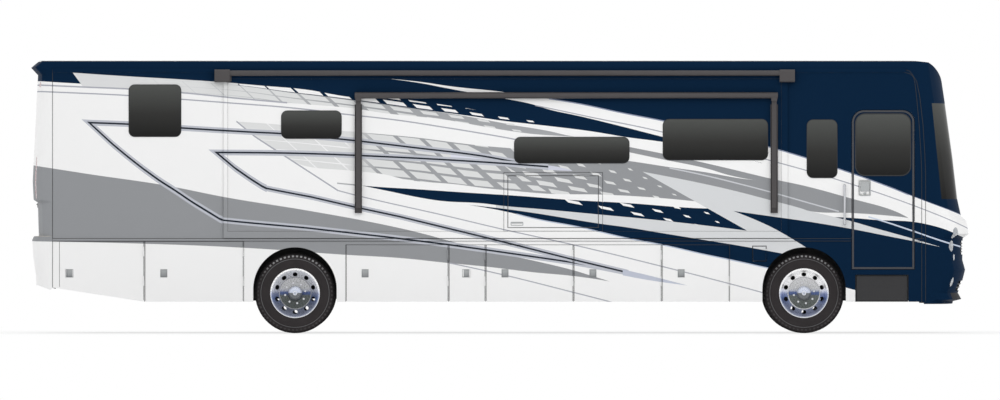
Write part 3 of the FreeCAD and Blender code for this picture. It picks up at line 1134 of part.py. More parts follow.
def hub_sections(x, y, side, mount, cap_reach, disc_count):
    """Hub, brake drum and cap, bored for the spindle; mount is the outer disc's outer face."""
    back = mount - DISC * disc_count
    bore = SPINDLE + FIT
    drum = [(back + 4, bore), (back + 4, 180), (back, 192), (back - 8, 206), (back - 140, 206),
            (back - 140, 188), (back - 20, 184), (back - 20, SPINDLE + 30), (back - 40, SPINDLE + 30),
            (back - 40, bore)]
    nose = [(back - 10, bore), (back - 10, 95), (mount + 10, 95), (mount + 14, HUB_RADIUS),
            (cap_reach, HUB_RADIUS - 6), (cap_reach, bore)]
    lid = [(cap_reach - 2, 0), (cap_reach - 2, HUB_RADIUS - 8), (cap_reach + 8, HUB_RADIUS - 16),
           (cap_reach + 12, 28), (cap_reach + 24, 26), (cap_reach + 24, 0)]
    return [profile_y(p, x, y, side) for p in (drum, nose, lid)]


def front_wheel(side):
    y = side * FRONT_TRACK
    sections = rim_sections(FRONT_AXLE, y, side, FRONT_DISC)
    sections += hub_sections(FRONT_AXLE, y, side, FRONT_DISC, FRONT_CAP_REACH, 1)
    rolling = turn_y(sections, FRONT_AXLE, y)
    return rolling.cut(hand_holes(FRONT_AXLE, y, side, FRONT_DISC)), tyre(FRONT_AXLE, y, side)


def rear_wheels(side):
    outer, inner = side * TRACK_HALF, side * (TRACK_HALF - TWIN_SPACING)
    outer_mount, inner_mount = -DISC_OFFSET + DISC, DISC_OFFSET
    sections = rim_sections(REAR_AXLE, outer, side, outer_mount)
    sections += rim_sections(REAR_AXLE, inner, side, inner_mount)
    sections += hub_sections(REAR_AXLE, outer, side, outer_mount, REAR_CAP_REACH, 2)
    holes = hand_holes(REAR_AXLE, outer, side, outer_mount) + hand_holes(REAR_AXLE, inner, side, inner_mount)
    tyres = [tyre(REAR_AXLE, outer, side), tyre(REAR_AXLE, inner, side)]
    return turn_y(sections, REAR_AXLE, outer).cut(holes), tyres


# ---------------------------------------------------------------- cab
def make_dashboard():
    """Dashboard on a leg, trimmed to lie inside the front cap."""
    top = prism_xz(DASH_OUTLINE, -DASH_HALF, DASH_HALF)
    x0, x1, half, head = DASH_LEG
    leg = box(x0, x1, -half, half, FLOOR_TOP, head)
    return fuse([top, leg]).common(front_form(CAP + 3))


def make_steering_wheel():
    """Leaning rim on three spokes, with its hub and column."""
    tilt = math.radians(STEERING_TILT)
    centre = V(STEERING_X, DRIVER_Y, STEERING_Z)
    axis = V(-math.sin(tilt), 0, math.cos(tilt))
    across = V(0, 1, 0)
    drop = axis.cross(across)
    down = drop if drop.z < 0 else drop * -1
    ring = Part.makeTorus(STEERING_RIM, STEERING_GRIP, centre, axis)
    hub_disc = Part.makeCylinder(60, 44, centre - axis * 42, axis)
    foot = centre - axis * 20
    spokes = [Part.makeCylinder(10, 220, foot, across * s) for s in (-1, 1)]
    spokes.append(Part.makeCylinder(10, STEERING_RIM, foot, down))
    column = Part.makeCylinder(32, 360, centre - axis * 390, axis)
    return fuse([ring, hub_disc, column] + spokes)


def make_seats():
    """Cushion and leaning backrest of each cab seat, and the pan and pedestal under them."""
    soft, bases = [], []
    for x, y in SEATS:
        cushion = box(x + CUSHION_BACK, x + CUSHION_FRONT, y - CUSHION_HALF, y + CUSHION_HALF,
                      CUSHION_BOTTOM, CUSHION_TOP)
        low = CUSHION_TOP + SEAT
        outline = [(x + 70, low), (x + 200, low), (x + 60, BACKREST_TOP), (x - 50, BACKREST_TOP)]
        soft += [cushion, prism_xz(outline, y - BACKREST_HALF, y + BACKREST_HALF)]
        pan_z = CUSHION_BOTTOM - PAN_THICK
        base = box(x + 120, x + 500, y - 150, y + 150, FLOOR_TOP, pan_z)
        pan = box(x + 10, x + 550, y - 240, y + 240, pan_z, CUSHION_BOTTOM - SEAT)
        bases.append(fuse([base, pan]))
    return soft, bases


# ================================================================ build
def main():
    os.makedirs("parts", exist_ok=True)

    write("roof", make_roof())
    write("right_wall", make_right_wall())
    write("left_wall", make_left_wall())
    write("right_skirt", make_skirt(-1, RIGHT_DOORS))
    write("left_skirt", make_skirt(1, LEFT_DOORS))
    for name, rear, front in RIGHT_DOORS:
        write(name, bay_door(-1, rear, front))
    for name, rear, front in LEFT_DOORS:
        write(name, bay_door(1, rear, front))
    write("fuel_flap", make_fuel_flap())
    write("storage_bays", make_storage_bays())

    front = front_form(0)
    write("front_cap", make_front_cap(front))
    write("headlamps", make_headlamps(front))
    write("front_grilles", make_grilles())
    write("windshield", front.cut(front_form(WINDSHIELD_GLASS)).common(windshield_space()))
    rear = rear_form(0)
    write("rear_cap", make_rear_cap(rear))
    write("tail_lamps", make_tail_lamps(rear))
    span = box(-6000, -5500, -ENGINE_DOOR_HALF, ENGINE_DOOR_HALF, ENGINE_DOOR_BOTTOM, ENGINE_DOOR_TOP)
    door = rear.cut(rear_form(ENGINE_DOOR_THICK)).common(span)
    write("engine_door", fuse([door] + [engine_hinge(y)[1] for y in ENGINE_HINGES]))

    lap = -HALF_WIDTH - SEAT
    panes = [pane(w, lap - GLASS, lap) for w in (WINDOW_REAR, WINDOW_SIDE)]
    panes += [pane(w, HALF_WIDTH + SEAT, HALF_WIDTH + SEAT + GLASS) for w in LEFT_WINDOWS]
    write("side_windows", panes)
    write("slide_room_wall", make_slide_wall())
    write("slide_room_box", make_slide_box())
    lap = PANEL_FACE - SEAT
    write("slide_room_windows", [pane(w, lap - GLASS, lap) for w in SLIDE_WINDOWS])
    write("patio_awning", make_patio_awning())
    write("slide_topper", make_slide_topper())
    leaf = box(HATCH_REAR, HATCH_FRONT, HATCH_FACE, HATCH_FACE + HATCH_LEAF, HATCH_BOTTOM, HATCH_TOP)
    write("tv_hatch", fuse([leaf] + [hatch_hinge(x)[1] for x in HATCH_HINGES]))

    write("entry_door", make_entry_door())
    write("entry_door_window", pane(DOOR_WINDOW, -HALF_WIDTH - SEAT - GLASS, -HALF_WIDTH - SEAT))
    write("entry_stairwell", [make_stairwell(), make_step_housing()])
    write("entry_step", make_entry_step())
    write("grab_handle", make_grab_handle())

    write("floor", make_floor())
    write("wheel_housings", make_wheel_housings())
    write("chassis_frame", make_chassis())
    write("hitch_receiver", make_hitch())
    write("engine", make_engine())
    write("rear_axle", make_rear_axle())
    write("front_axle", make_front_axle())
    write("front_left_knuckle", make_knuckle(1))
    write("front_right_knuckle", make_knuckle(-1))
    write("tie_rod", make_tie_rod())
    write("fuel_tank", make_fuel_tank())
    for name, side in (("left", 1), ("right", -1)):
        rolling, rubber = front_wheel(side)
        write(f"front_{name}_wheel", rolling)
        write(f"front_{name}_tyre", rubber)
        rolling, rubber = rear_wheels(side)
        write(f"rear_{name}_wheels", rolling)
        write(f"rear_{name}_tyres", rubber)

    dashboard = make_dashboard()
    write("dashboard", dashboard)
    write("steering_wheel", make_steering_wheel().cut(dashboard))
    soft, bases = make_seats()
    write("cab_seats", soft)
    write("seat_bases", bases)


main()
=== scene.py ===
# %% [markdown]
# # Dressing a motorhome
# A large motorhome is a plain box until it is painted: long swooping bands of navy, grey and silver run the
# whole length of its sides. This lesson loads the finished construction, paints it with node materials, and
# adds the small things that a body shop would fit afterwards: latches, seals, treads, nuts and cushions.

import json
import math

import bmesh
import bpy
from mathutils import Matrix, Vector
from mathutils.bvhtree import BVHTree


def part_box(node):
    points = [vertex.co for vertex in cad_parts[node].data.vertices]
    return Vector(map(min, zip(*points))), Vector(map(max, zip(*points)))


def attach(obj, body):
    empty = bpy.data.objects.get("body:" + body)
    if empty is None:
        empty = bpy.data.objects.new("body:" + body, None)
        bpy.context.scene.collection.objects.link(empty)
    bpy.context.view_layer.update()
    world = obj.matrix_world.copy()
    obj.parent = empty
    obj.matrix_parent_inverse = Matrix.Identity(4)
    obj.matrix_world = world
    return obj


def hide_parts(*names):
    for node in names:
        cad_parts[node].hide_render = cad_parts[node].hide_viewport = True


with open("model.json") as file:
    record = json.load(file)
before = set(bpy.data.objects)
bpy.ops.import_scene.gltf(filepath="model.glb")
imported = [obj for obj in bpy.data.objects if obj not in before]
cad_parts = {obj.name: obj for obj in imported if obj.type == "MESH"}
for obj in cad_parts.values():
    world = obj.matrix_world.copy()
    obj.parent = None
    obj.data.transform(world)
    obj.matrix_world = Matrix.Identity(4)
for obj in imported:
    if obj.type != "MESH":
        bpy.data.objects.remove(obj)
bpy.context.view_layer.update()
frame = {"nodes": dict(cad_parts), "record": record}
nodes = frame["nodes"]
slot_of = {part["node"]: part["material_slot"] for part in frame["record"]["subparts"]}
body_of = {name: body for body, names in frame["record"]["behaviour"]["bodies"].items() for name in names}

# %% [markdown]
# Every material here is built from nodes. A few small helpers keep that readable: they turn a paint chip's
# hex code into the linear numbers that Blender mixes with, add and wire a node, do a sum, stretch a value's
# range and lay one colour over another.

# %% Helpers for materials
def paint(chip):
    """The linear colour of an sRGB chip such as '0E243C'."""
    parts = [int(chip[i:i + 2], 16) / 255 for i in (0, 2, 4)]
    return (*[v / 12.92 if v <= 0.04045 else ((v + 0.055) / 1.055) ** 2.4 for v in parts], 1.0)


def add(tree, kind, wires=None, **settings):
    """Adds a node: settings are its properties, wires the values or other nodes' outputs for its inputs."""
    made = tree.nodes.new(kind)
    for key, value in settings.items():
        setattr(made, key, value)
    for key, value in (wires or {}).items():
        if isinstance(value, bpy.types.NodeSocket):
            tree.links.new(value, made.inputs[key])
        else:
            made.inputs[key].default_value = value
    return made


def calc(tree, operation, a, b=0.0, c=0.0, clamp=False):
    return add(tree, "ShaderNodeMath", {0: a, 1: b, 2: c}, operation=operation, use_clamp=clamp).outputs[0]


def remap(tree, value, start=0.0, end=1.0, low=0.0, high=1.0):
    """A value that runs from start to end, stretched to run from low to high."""
    span = {"Value": value, "From Min": start, "From Max": end, "To Min": low, "To Max": high}
    return add(tree, "ShaderNodeMapRange", span).outputs[0]


def mix(tree, share, below, above):
    """Colour above laid over colour below wherever share is 1."""
    made = add(tree, "ShaderNodeMix", {0: share, 6: below, 7: above}, data_type="RGBA")
    return made.outputs[2]


def new_material(name, **fixed):
    """A material with its Principled shader; fixed names sockets that are the same all over."""
    made = bpy.data.materials.new(name)
    made.use_nodes = True
    shader = made.node_tree.nodes["Principled BSDF"]
    for key, value in fixed.items():
        shader.inputs[key.replace("_", " ")].default_value = value
    return made, made.node_tree, shader


def wire(tree, shader, **sources):
    """Links each source to the shader's socket of that name."""
    for key, source in sources.items():
        tree.links.new(source, shader.inputs[key.replace("_", " ")])


def roughen(tree, shader, size, depth, detail=2.0, low=0.3, high=0.4):
    """Fine grain: a noise of that size in metres drives the bump and lets roughness wander a little."""
    here = add(tree, "ShaderNodeTexCoord").outputs["Object"]
    grain = add(tree, "ShaderNodeTexNoise", {"Vector": here, "Scale": 1 / size, "Detail": detail})
    bump = add(tree, "ShaderNodeBump", {"Height": grain.outputs[0], "Distance": depth, "Strength": 1.0})
    wander = remap(tree, grain.outputs[0], low=low, high=high)
    wire(tree, shader, Normal=bump.outputs[0], Roughness=wander)
    return here


print("navy is", [round(v, 4) for v in paint("0E243C")[:3]])

# %% [markdown]
# ## The livery
# The stripes are sprayed on the sides as flat shapes, so a side projection is right for them: only how far
# forward (X) and how high (Z) a point lies decides its colour. Each stripe edge is a curve of height over
# length, drawn through a few points that the sprayer would mark with tape. A Float Curve node holds such an
# edge. Its input and output run from 0 to 1, so lengths are counted in a 12 m ruler and heights in a 4 m one.

# %% A ruler for edges
RULER_X, RULER_Z, RULER_START = 12.0, 4.0, -6.0


class Livery:
    """Lays sprayed shapes over each other, in the order in which they are asked for."""

    def __init__(self, tree):
        self.tree = tree
        here = add(tree, "ShaderNodeTexCoord").outputs["Object"]
        split = add(tree, "ShaderNodeSeparateXYZ", {0: here})
        self.metres_x, self.metres_z = split.outputs[0], split.outputs[2]
        self.x = calc(tree, "MULTIPLY_ADD", self.metres_x, 1 / RULER_X, -RULER_START / RULER_X)
        self.z = calc(tree, "MULTIPLY", self.metres_z, 1 / RULER_Z)
        self.colour = None
        self.shapes = 0

    def ruled(self, points, height, soft=True, at=None):
        made = self.tree.nodes.new("ShaderNodeFloatCurve")
        curve = made.mapping.curves[0]
        spots = [((x - RULER_START) / RULER_X, value / height) for x, value in points]
        curve.points[0].location, curve.points[1].location = spots[0], spots[-1]
        for spot in spots[1:-1]:
            curve.points.new(*spot)
        for point in curve.points:
            point.handle_type = "AUTO" if soft else "VECTOR"
        made.mapping.use_clip = False
        made.mapping.update()
        self.tree.links.new(self.x if at is None else at, made.inputs["Value"])
        return made.outputs[0]

    def edge(self, *points, soft=True):
        """Height of a taped line through (x, z) points in metres."""
        return self.ruled(points, RULER_Z, soft)

    def share(self, *points):
        """A number from 0 to 1 that changes along the length."""
        return self.ruled(points, 1.0)

    def count(self, joints, along):
        """How many of the joints, given as lengths, lie behind a point, with its share of the next gap."""
        at = calc(self.tree, "MULTIPLY_ADD", along, 1 / RULER_X, -RULER_START / RULER_X)
        passed = [(x, number) for number, x in enumerate(joints)]
        return calc(self.tree, "MULTIPLY", self.ruled(passed, len(joints), soft=False, at=at), len(joints))

    def below(self, edge):
        return calc(self.tree, "LESS_THAN", self.z, edge)

    def above(self, edge):
        return calc(self.tree, "GREATER_THAN", self.z, edge)

    def both(self, *masks):
        result = masks[0]
        for mask in masks[1:]:
            result = calc(self.tree, "MULTIPLY", result, mask)
        return result

    def stretch(self, rear, front):
        """1 between two lengths in metres."""
        middle, half = (rear + front) / 2, (front - rear) / 2
        return calc(self.tree, "COMPARE", self.metres_x, middle, half)

    def lay(self, chip, mask):
        colour = chip if isinstance(chip, bpy.types.NodeSocket) else paint(chip)
        self.colour = mix(self.tree, mask, self.colour, colour)
        self.shapes += 1

    def band(self, chip, top, low, rear, front, *more):
        self.lay(chip, self.both(self.below(top), self.above(low), self.stretch(rear, front), *more))

    def line(self, chip, edge, width, rear, front):
        on = calc(self.tree, "COMPARE", self.z, edge, width / 2 / RULER_Z)
        self.lay(chip, self.both(on, self.stretch(rear, front)))


# %% [markdown]
# The chips. Navy and near-white do most of the work. The light silver and the two greys sit between them, and
# the pinstripes are a near-black line that runs down the middle of a pale lavender-silver one.

# %% Paint chips
NAVY, WHITE, SILVER, GREY = "0E243C", "F3F3F3", "D5D7D9", "949699"
TILE, TILE_GROUND = "DCDDDD", "A3A5A8"
HAIRLINE, PIN_DARK, PIN_SILVER = "A9ABB4", "2B3038", "BDC0C9"

# %% [markdown]
# The mosaics are rows of parallelogram tiles that lean back and break up towards the front: the tiles keep
# their spacing while they shrink. A lattice does that. The distance below the top edge counts rows, the
# length less a share of that distance counts columns, and what is left after whole counts says where in its
# cell a point lies. Comparing it with a shrinking share gives the tile. The columns were taped by eye, so the
# joints between them are a list of lengths and not one pitch.

# %% Tile lattice
def spaced(start, *runs):
    """Joint lengths from start, as runs of (how many, how far apart)."""
    joints = [start]
    for number, pitch in runs:
        joints += [joints[-1] + pitch * (step + 1) for step in range(number)]
    return joints


JOINTS_ONE = spaced(-4.943, (11, 0.353), (7, 0.328))
JOINTS_REAR = [-3.60, -3.22, -2.85, -2.44, -2.07, -1.67, -1.29, -0.97, -0.63] + spaced(-0.28, (6, 0.345))
JOINTS_AHEAD = [-1.84, -1.35, -0.87, -0.385, 0.065, 0.48, 0.89, 1.30, 1.70, 2.10, 2.50]
FIRST_AHEAD = 2
JOINTS_SLIVERS = [-0.42, -0.02, 0.38, 0.78, 1.17, 1.555, 1.92, 2.27, 2.66, 3.04]
SLIVER_ROW = 0.0855
print("tile joints of the two mosaics:", len(JOINTS_ONE), "and", len(JOINTS_REAR) + len(JOINTS_AHEAD))


def lattice(art, top, joints, row, lean, length_share, height_share, skew=0.0, growth=None):
    """Tiles as a mask, with the length that counted their columns. Growth makes lower tiles larger."""
    tree = art.tree
    depth = calc(tree, "MULTIPLY", calc(tree, "SUBTRACT", top, art.z), RULER_Z)
    along = calc(tree, "SUBTRACT", art.metres_x, calc(tree, "MULTIPLY", depth, lean))
    column = calc(tree, "FRACT", art.count(joints, along))
    level = calc(tree, "FRACT", calc(tree, "ADD", calc(tree, "DIVIDE", depth, row), 20.0))
    if growth:
        length_share, height_share = [
            calc(tree, "MULTIPLY", share, calc(tree, "MULTIPLY_ADD", depth, slope, base))
            for share, (slope, base) in zip((length_share, height_share), growth)]
    across = calc(tree, "MULTIPLY_ADD", calc(tree, "SUBTRACT", level, 0.5), skew, column)
    in_column = calc(tree, "COMPARE", across, 0.5, calc(tree, "MULTIPLY", length_share, 0.5))
    in_row = calc(tree, "COMPARE", level, 0.5, calc(tree, "MULTIPLY", height_share, 0.5))
    return art.both(in_column, in_row), along


# %% [markdown]
# Now the stripes themselves, from the back layer to the front one, as a sprayer would mask them: the navy
# crown, the two mosaics, the silver sweep and the navy swooshes over it, and last the hairlines and
# pinstripes.

# %% The painted sides
def spray_sides(art):
    art.colour = add(art.tree, "ShaderNodeRGB").outputs[0]
    art.colour.default_value = paint(WHITE)

    # navy crown, with the small step at the tail where the first mosaic starts
    crown = art.edge((-5.22, 3.165), (-4.63, 3.125), (-3.86, 3.08), (-3.16, 3.025), (-2.57, 2.945),
                     (-2.11, 2.89), (-1.43, 2.80), (-0.97, 2.735), (-0.40, 2.66), (0.05, 2.595), (0.62, 2.53),
                     (1.10, 2.47), (1.56, 2.395), (1.98, 2.34), (2.76, 2.205), (3.27, 2.06), (3.8, 1.95),
                     (6.0, 1.2))
    tile_top = art.edge((-5.22, 3.185), (-4.63, 3.145), (-3.86, 3.10), (-3.15, 3.05), (-2.84, 3.02),
                        (-2.43, 2.985), (-2.08, 2.94), (-1.69, 2.875), (-1.35, 2.82), (-1.02, 2.765),
                        (-0.66, 2.705), (-0.40, 2.66))
    tail_low = art.edge((-5.76, 3.09), (-5.12, 3.05), (-4.90, 3.04))
    band_low = art.edge((-5.76, 3.04), (-5.11, 3.01), (-4.53, 2.985), (-3.89, 2.94), (-3.14, 2.865),
                        (-2.45, 2.805), (-1.76, 2.745), (-1.45, 2.695), (-0.70, 2.615), (-0.30, 2.545),
                        (0.0, 2.492), (0.20, 2.461), (0.41, 2.435), (0.61, 2.42), (0.99, 2.40))
    art.lay(NAVY, art.both(art.above(tail_low), art.stretch(-6.0, -4.95)))
    art.lay(NAVY, art.both(art.above(crown), art.stretch(-4.95, 6.0)))
    slant = calc(art.tree, "MULTIPLY_ADD", art.metres_z, -0.73, -5.22 + 0.73 * 3.185)
    ahead = calc(art.tree, "GREATER_THAN", art.metres_x, slant)

    # first mosaic: pale ground, greyer towards the front, tiles over it and a first row on the navy
    fade = remap(art.tree, art.metres_x, -3.6, -2.0)
    ground_chip = mix(art.tree, fade, paint("C9CBCD"), paint(TILE_GROUND))
    art.lay("DADBDC", art.both(art.below(tile_top), art.above(band_low), art.stretch(-5.3, -3.2), ahead))
    lens_top = art.edge((-5.22, 3.165), (-4.63, 3.125), (-3.86, 3.08), (-3.16, 3.025), (-2.57, 2.945),
                        (-2.11, 2.89), (-1.43, 2.80), (-0.97, 2.735), (-0.40, 2.65), (0.0, 2.575),
                        (0.20, 2.537), (0.41, 2.505), (0.61, 2.468), (0.87, 2.41), (0.99, 2.395))
    art.band(ground_chip, lens_top, band_low, -4.3, 0.99)
    art.band(WHITE, crown, lens_top, -0.38, 3.3)
    tile_length = art.share((-4.9, 1.0), (-4.3, 0.985), (-3.5, 0.965), (-2.9, 0.93), (-2.3, 0.86),
                            (-1.7, 0.78), (-1.1, 0.66), (-0.6, 0.52), (-0.1, 0.40), (0.25, 0.30), (0.5, 0.0))
    tile_height = art.share((-4.9, 1.0), (-4.3, 0.985), (-3.5, 0.94), (-2.9, 0.88), (-2.3, 0.80),
                            (-1.7, 0.74), (-1.1, 0.62), (-0.6, 0.50), (-0.1, 0.36), (0.5, 0.25))
    tiles, _ = lattice(art, crown, JOINTS_ONE, 0.066, 1.22, tile_length, tile_height)
    art.lay(TILE, art.both(tiles, art.below(crown), art.above(band_low), art.stretch(-4.3, 0.4)))
    row_above = art.edge((-3.3, 3.06), (-2.84, 3.02), (-2.43, 2.985), (-1.69, 2.875), (-1.40, 2.88),
                         (-0.97, 2.83), (0.0, 2.68), (0.4, 2.60))
    art.lay(WHITE, art.both(tiles, art.above(crown), art.below(row_above), art.stretch(-3.2, 0.42)))

    # white spear through the navy, and the broad white sweep that it opens into
    spear_top = art.edge((-1.35, 3.11), (-0.96, 3.07), (-0.58, 3.015), (0.03, 2.95), (0.60, 2.865),
                         (0.99, 2.80), (1.48, 2.695), (1.99, 2.595), (2.63, 2.45), (3.27, 2.28),
                         (3.76, 2.135), (4.12, 2.015), (4.75, 1.79), (5.06, 1.665), (5.65, 1.445),
                         (5.80, 1.39))
    spear_low = art.edge((-1.35, 3.11), (-0.96, 3.055), (-0.70, 3.005), (-0.36, 2.94), (0.10, 2.86),
                         (0.37, 2.805), (0.62, 2.73), (0.99, 2.65), (1.48, 2.53), (1.99, 2.40), (2.45, 2.29),
                         (2.76, 2.205), (3.27, 2.06))
    art.band(WHITE, spear_top, spear_low, -1.35, 3.27)
    art.lay(WHITE, art.both(art.below(spear_top), art.stretch(3.2, 6.0)))
    art.line("8E97AE", spear_top, 0.014, 0.6, 5.9)

    # second mosaic and the grey that it fades into
    mosaic_top = art.edge((-3.22, 2.59), (-2.66, 2.55), (-1.94, 2.48), (-1.69, 2.455), (-1.00, 2.39),
                          (-0.62, 2.34), (-0.25, 2.295), (0.15, 2.26), (0.86, 2.195), (1.58, 2.105),
                          (2.11, 2.025), (2.50, 1.97), (2.89, 1.90), (3.14, 1.865), (3.6, 1.78))
    mosaic_low = art.edge((-3.30, 2.30), (-2.63, 2.155), (-2.38, 2.045), (-1.85, 1.99), (-1.43, 1.945),
                          (-1.13, 1.875), (-0.49, 1.815), (-0.24, 1.78), (0.12, 1.745), (0.60, 1.705),
                          (1.23, 1.695), (1.81, 1.665), (2.42, 1.61), (2.8, 1.57))
    rear_slope = art.edge((-3.22, 2.59), (-2.99, 2.40), (-2.62, 2.16), (-1.98, 1.745), soft=False)
    grey_top = art.edge((1.22, 2.35), (1.59, 2.275), (1.99, 2.195), (2.40, 2.105), (2.81, 2.01), (3.31, 1.89),
                        (3.75, 1.795), (4.30, 1.645), (4.78, 1.51), (4.99, 1.41))
    grey_low = art.edge((1.74, 1.975), (2.50, 1.825), (2.89, 1.735), (3.31, 1.625), (3.67, 1.53),
                        (3.80, 1.49), (4.30, 1.47), (4.78, 1.435), (4.99, 1.41))
    inner_top = art.edge((1.22, 2.29), (1.59, 2.21), (1.99, 2.125), (2.50, 2.02), (2.81, 1.93), (3.14, 1.865))
    navy_low_top = art.edge((-0.39, 1.57), (0.06, 1.52), (0.45, 1.465), (1.22, 1.34), (1.52, 1.30),
                            (2.01, 1.22), (2.47, 1.145), (2.90, 1.075), (3.45, 0.975), (4.4, 0.80))
    prow = calc(art.tree, "MULTIPLY_ADD", art.metres_x, -0.5635 / RULER_Z, (1.975 + 0.5635 * 1.74) / RULER_Z)
    behind_prow = art.below(prow)
    # silver sweep first, then what stands on it
    art.band(SILVER, grey_low, navy_low_top, 1.74, 5.4)
    silver_top = art.edge((-1.69, 1.805), (-1.35, 1.735), (-0.96, 1.655), (-0.69, 1.615), (-0.24, 1.59),
                          (0.06, 1.555), (0.53, 1.515), (1.23, 1.45), (1.91, 1.385), (2.57, 1.31),
                          (3.01, 1.255))
    art.band(WHITE, mosaic_low, silver_top, -0.5, 3.0, behind_prow)
    art.band(SILVER, silver_top, navy_low_top, -0.05, 3.0)
    art.band(GREY, grey_top, grey_low, 1.74, 4.99)
    lattice_ground = remap(art.tree, art.metres_x, -1.9, -1.5)
    ground_two = mix(art.tree, lattice_ground, paint("F0F0F1"), paint("9FA1A4"))
    thickening = remap(art.tree, art.metres_x, 0.3, 1.4)
    ground_two = mix(art.tree, thickening, ground_two, paint(GREY))
    art.band(ground_two, mosaic_top, mosaic_low, -3.22, 2.75, behind_prow, art.above(rear_slope))
    art.lay(GREY, art.both(art.below(mosaic_top), art.above(prow), art.stretch(1.45, 1.745)))
    art.band(GREY, grey_top, inner_top, 1.22, 3.14)
    art.band(WHITE, inner_top, mosaic_top, 1.22, 3.14)
    tile_length = art.share((-3.22, 0.97), (-2.45, 0.955), (-1.9, 0.93), (-1.7, 0.86), (-1.0, 0.80),
                            (-0.6, 0.76), (-0.2, 0.70), (0.25, 0.60), (0.74, 0.43))
    tile_height = art.share((-3.22, 0.95), (-2.45, 0.92), (-1.9, 0.86), (-1.0, 0.77), (-0.2, 0.68),
                            (0.25, 0.62), (0.74, 0.54))
    tiles, _ = lattice(art, mosaic_top, JOINTS_REAR, 0.1025, 1.24, tile_length, tile_height)
    rows_top = art.edge((-1.0, 2.56), (-0.3, 2.462), (0.0, 2.41), (0.386, 2.326), (0.60, 2.268),
                        (0.782, 2.221), (1.136, 2.137), (1.50, 2.0565), (2.09, 1.940), (2.9, 1.790),
                        (3.4, 1.70))
    row = calc(art.tree, "MULTIPLY", art.share((-1.0, 0.51), (-0.3, 0.475), (0.0, 0.46), (0.386, 0.430),
                                               (0.60, 0.405), (0.782, 0.3925), (1.136, 0.370), (1.5, 0.350),
                                               (2.09, 0.34), (3.0, 0.33)), 0.2)
    front_length = art.share((-1.0, 0.62), (-0.2, 0.50), (0.3, 0.38), (0.8, 0.39), (1.0, 0.38), (1.5, 0.30),
                             (1.9, 0.165), (2.1, 0.125), (2.5, 0.08), (2.75, 0.0))
    front_height = art.share((-1.0, 0.78), (-0.2, 0.64), (0.5, 0.54), (1.0, 0.48), (1.5, 0.40), (1.9, 0.28),
                             (2.3, 0.2), (2.8, 0.1))
    tiles_ahead, along = lattice(art, rows_top, JOINTS_AHEAD, row, 2.65, front_length, front_height,
                                 skew=0.23, growth=((2.6, 0.3), (0.9, 0.75)))
    ahead = calc(art.tree, "GREATER_THAN", along, JOINTS_AHEAD[FIRST_AHEAD])
    astern = calc(art.tree, "SUBTRACT", 1.0, ahead)
    for mask, side in ((tiles, astern), (tiles_ahead, ahead)):
        art.band(TILE, mosaic_top, mosaic_low, -3.22, 2.75, behind_prow, art.above(rear_slope), mask, side)

    # upper navy swoosh, with the mosaic's last slivers showing on it
    navy_top = art.edge((-1.69, 1.805), (-1.35, 1.78), (-1.08, 1.765), (-0.49, 1.725), (0.29, 1.675),
                        (0.80, 1.635), (1.58, 1.59), (2.40, 1.53), (2.70, 1.525), (3.01, 1.52))
    navy_low = silver_top
    art.band(NAVY, navy_top, navy_low, -1.69, 3.01, behind_prow)
    sliver_top = art.edge((0.3, 1.928), (0.6, 1.873), (0.9, 1.816), (2.1, 1.592), (2.69, 1.482), (3.1, 1.405))
    sliver_foot = calc(art.tree, "SUBTRACT", sliver_top, 3 * SLIVER_ROW / RULER_Z)
    sliver_length = art.share((0.6, 0.46), (0.9, 0.44), (1.3, 0.40), (1.7, 0.33), (2.1, 0.24), (2.5, 0.14),
                              (2.7, 0.09), (3.0, 0.0))
    sliver_height = art.share((0.6, 0.40), (0.9, 0.38), (1.3, 0.36), (1.7, 0.33), (2.1, 0.28), (2.5, 0.22),
                              (2.8, 0.16))
    slivers, _ = lattice(art, sliver_top, JOINTS_SLIVERS, SLIVER_ROW, 1.5, sliver_length, sliver_height)
    art.band(WHITE, navy_top, navy_low, 0.7, 2.78, behind_prow, art.below(sliver_top), art.above(sliver_foot),
             slivers)
    art.line("A9ABAE", art.edge((-2.0, 1.835), (-1.69, 1.805)), 0.016, -1.99, -1.69)

    # lower navy swoosh, the navy flank behind and ahead of the front wheel
    navy_two_low = art.edge((-0.39, 1.57), (0.06, 1.49), (0.45, 1.395), (0.96, 1.30), (1.22, 1.24),
                            (1.52, 1.17), (2.01, 1.075), (2.47, 0.97), (2.90, 0.88), (3.26, 0.80),
                            (3.55, 0.745), (3.8, 0.70))
    art.band(NAVY, navy_low_top, navy_two_low, -0.39, 3.6)
    art.line("B9C3D6", navy_two_low, 0.014, 0.2, 3.5)
    flank_top = art.edge((2.85, 1.495), (3.31, 1.43), (3.80, 1.36), (4.30, 1.275), (4.78, 1.18),
                         (5.06, 1.125), (5.38, 1.055), (5.9, 0.94))
    flank_rear = art.edge((2.85, 1.495), (3.28, 1.315), (3.51, 1.19), (3.69, 1.08), (4.04, 0.86), (4.3, 0.7))
    art.lay(NAVY, art.both(art.below(flank_top), art.above(flank_rear), art.stretch(2.85, 6.0)))
    art.lay(NAVY, art.both(art.below(flank_top), art.stretch(4.0, 6.0)))
    patch = art.edge((4.1, 0.60), (4.24, 0.555), (4.42, 0.51))
    art.lay(WHITE, art.both(art.below(patch), art.stretch(3.9, 4.345)))

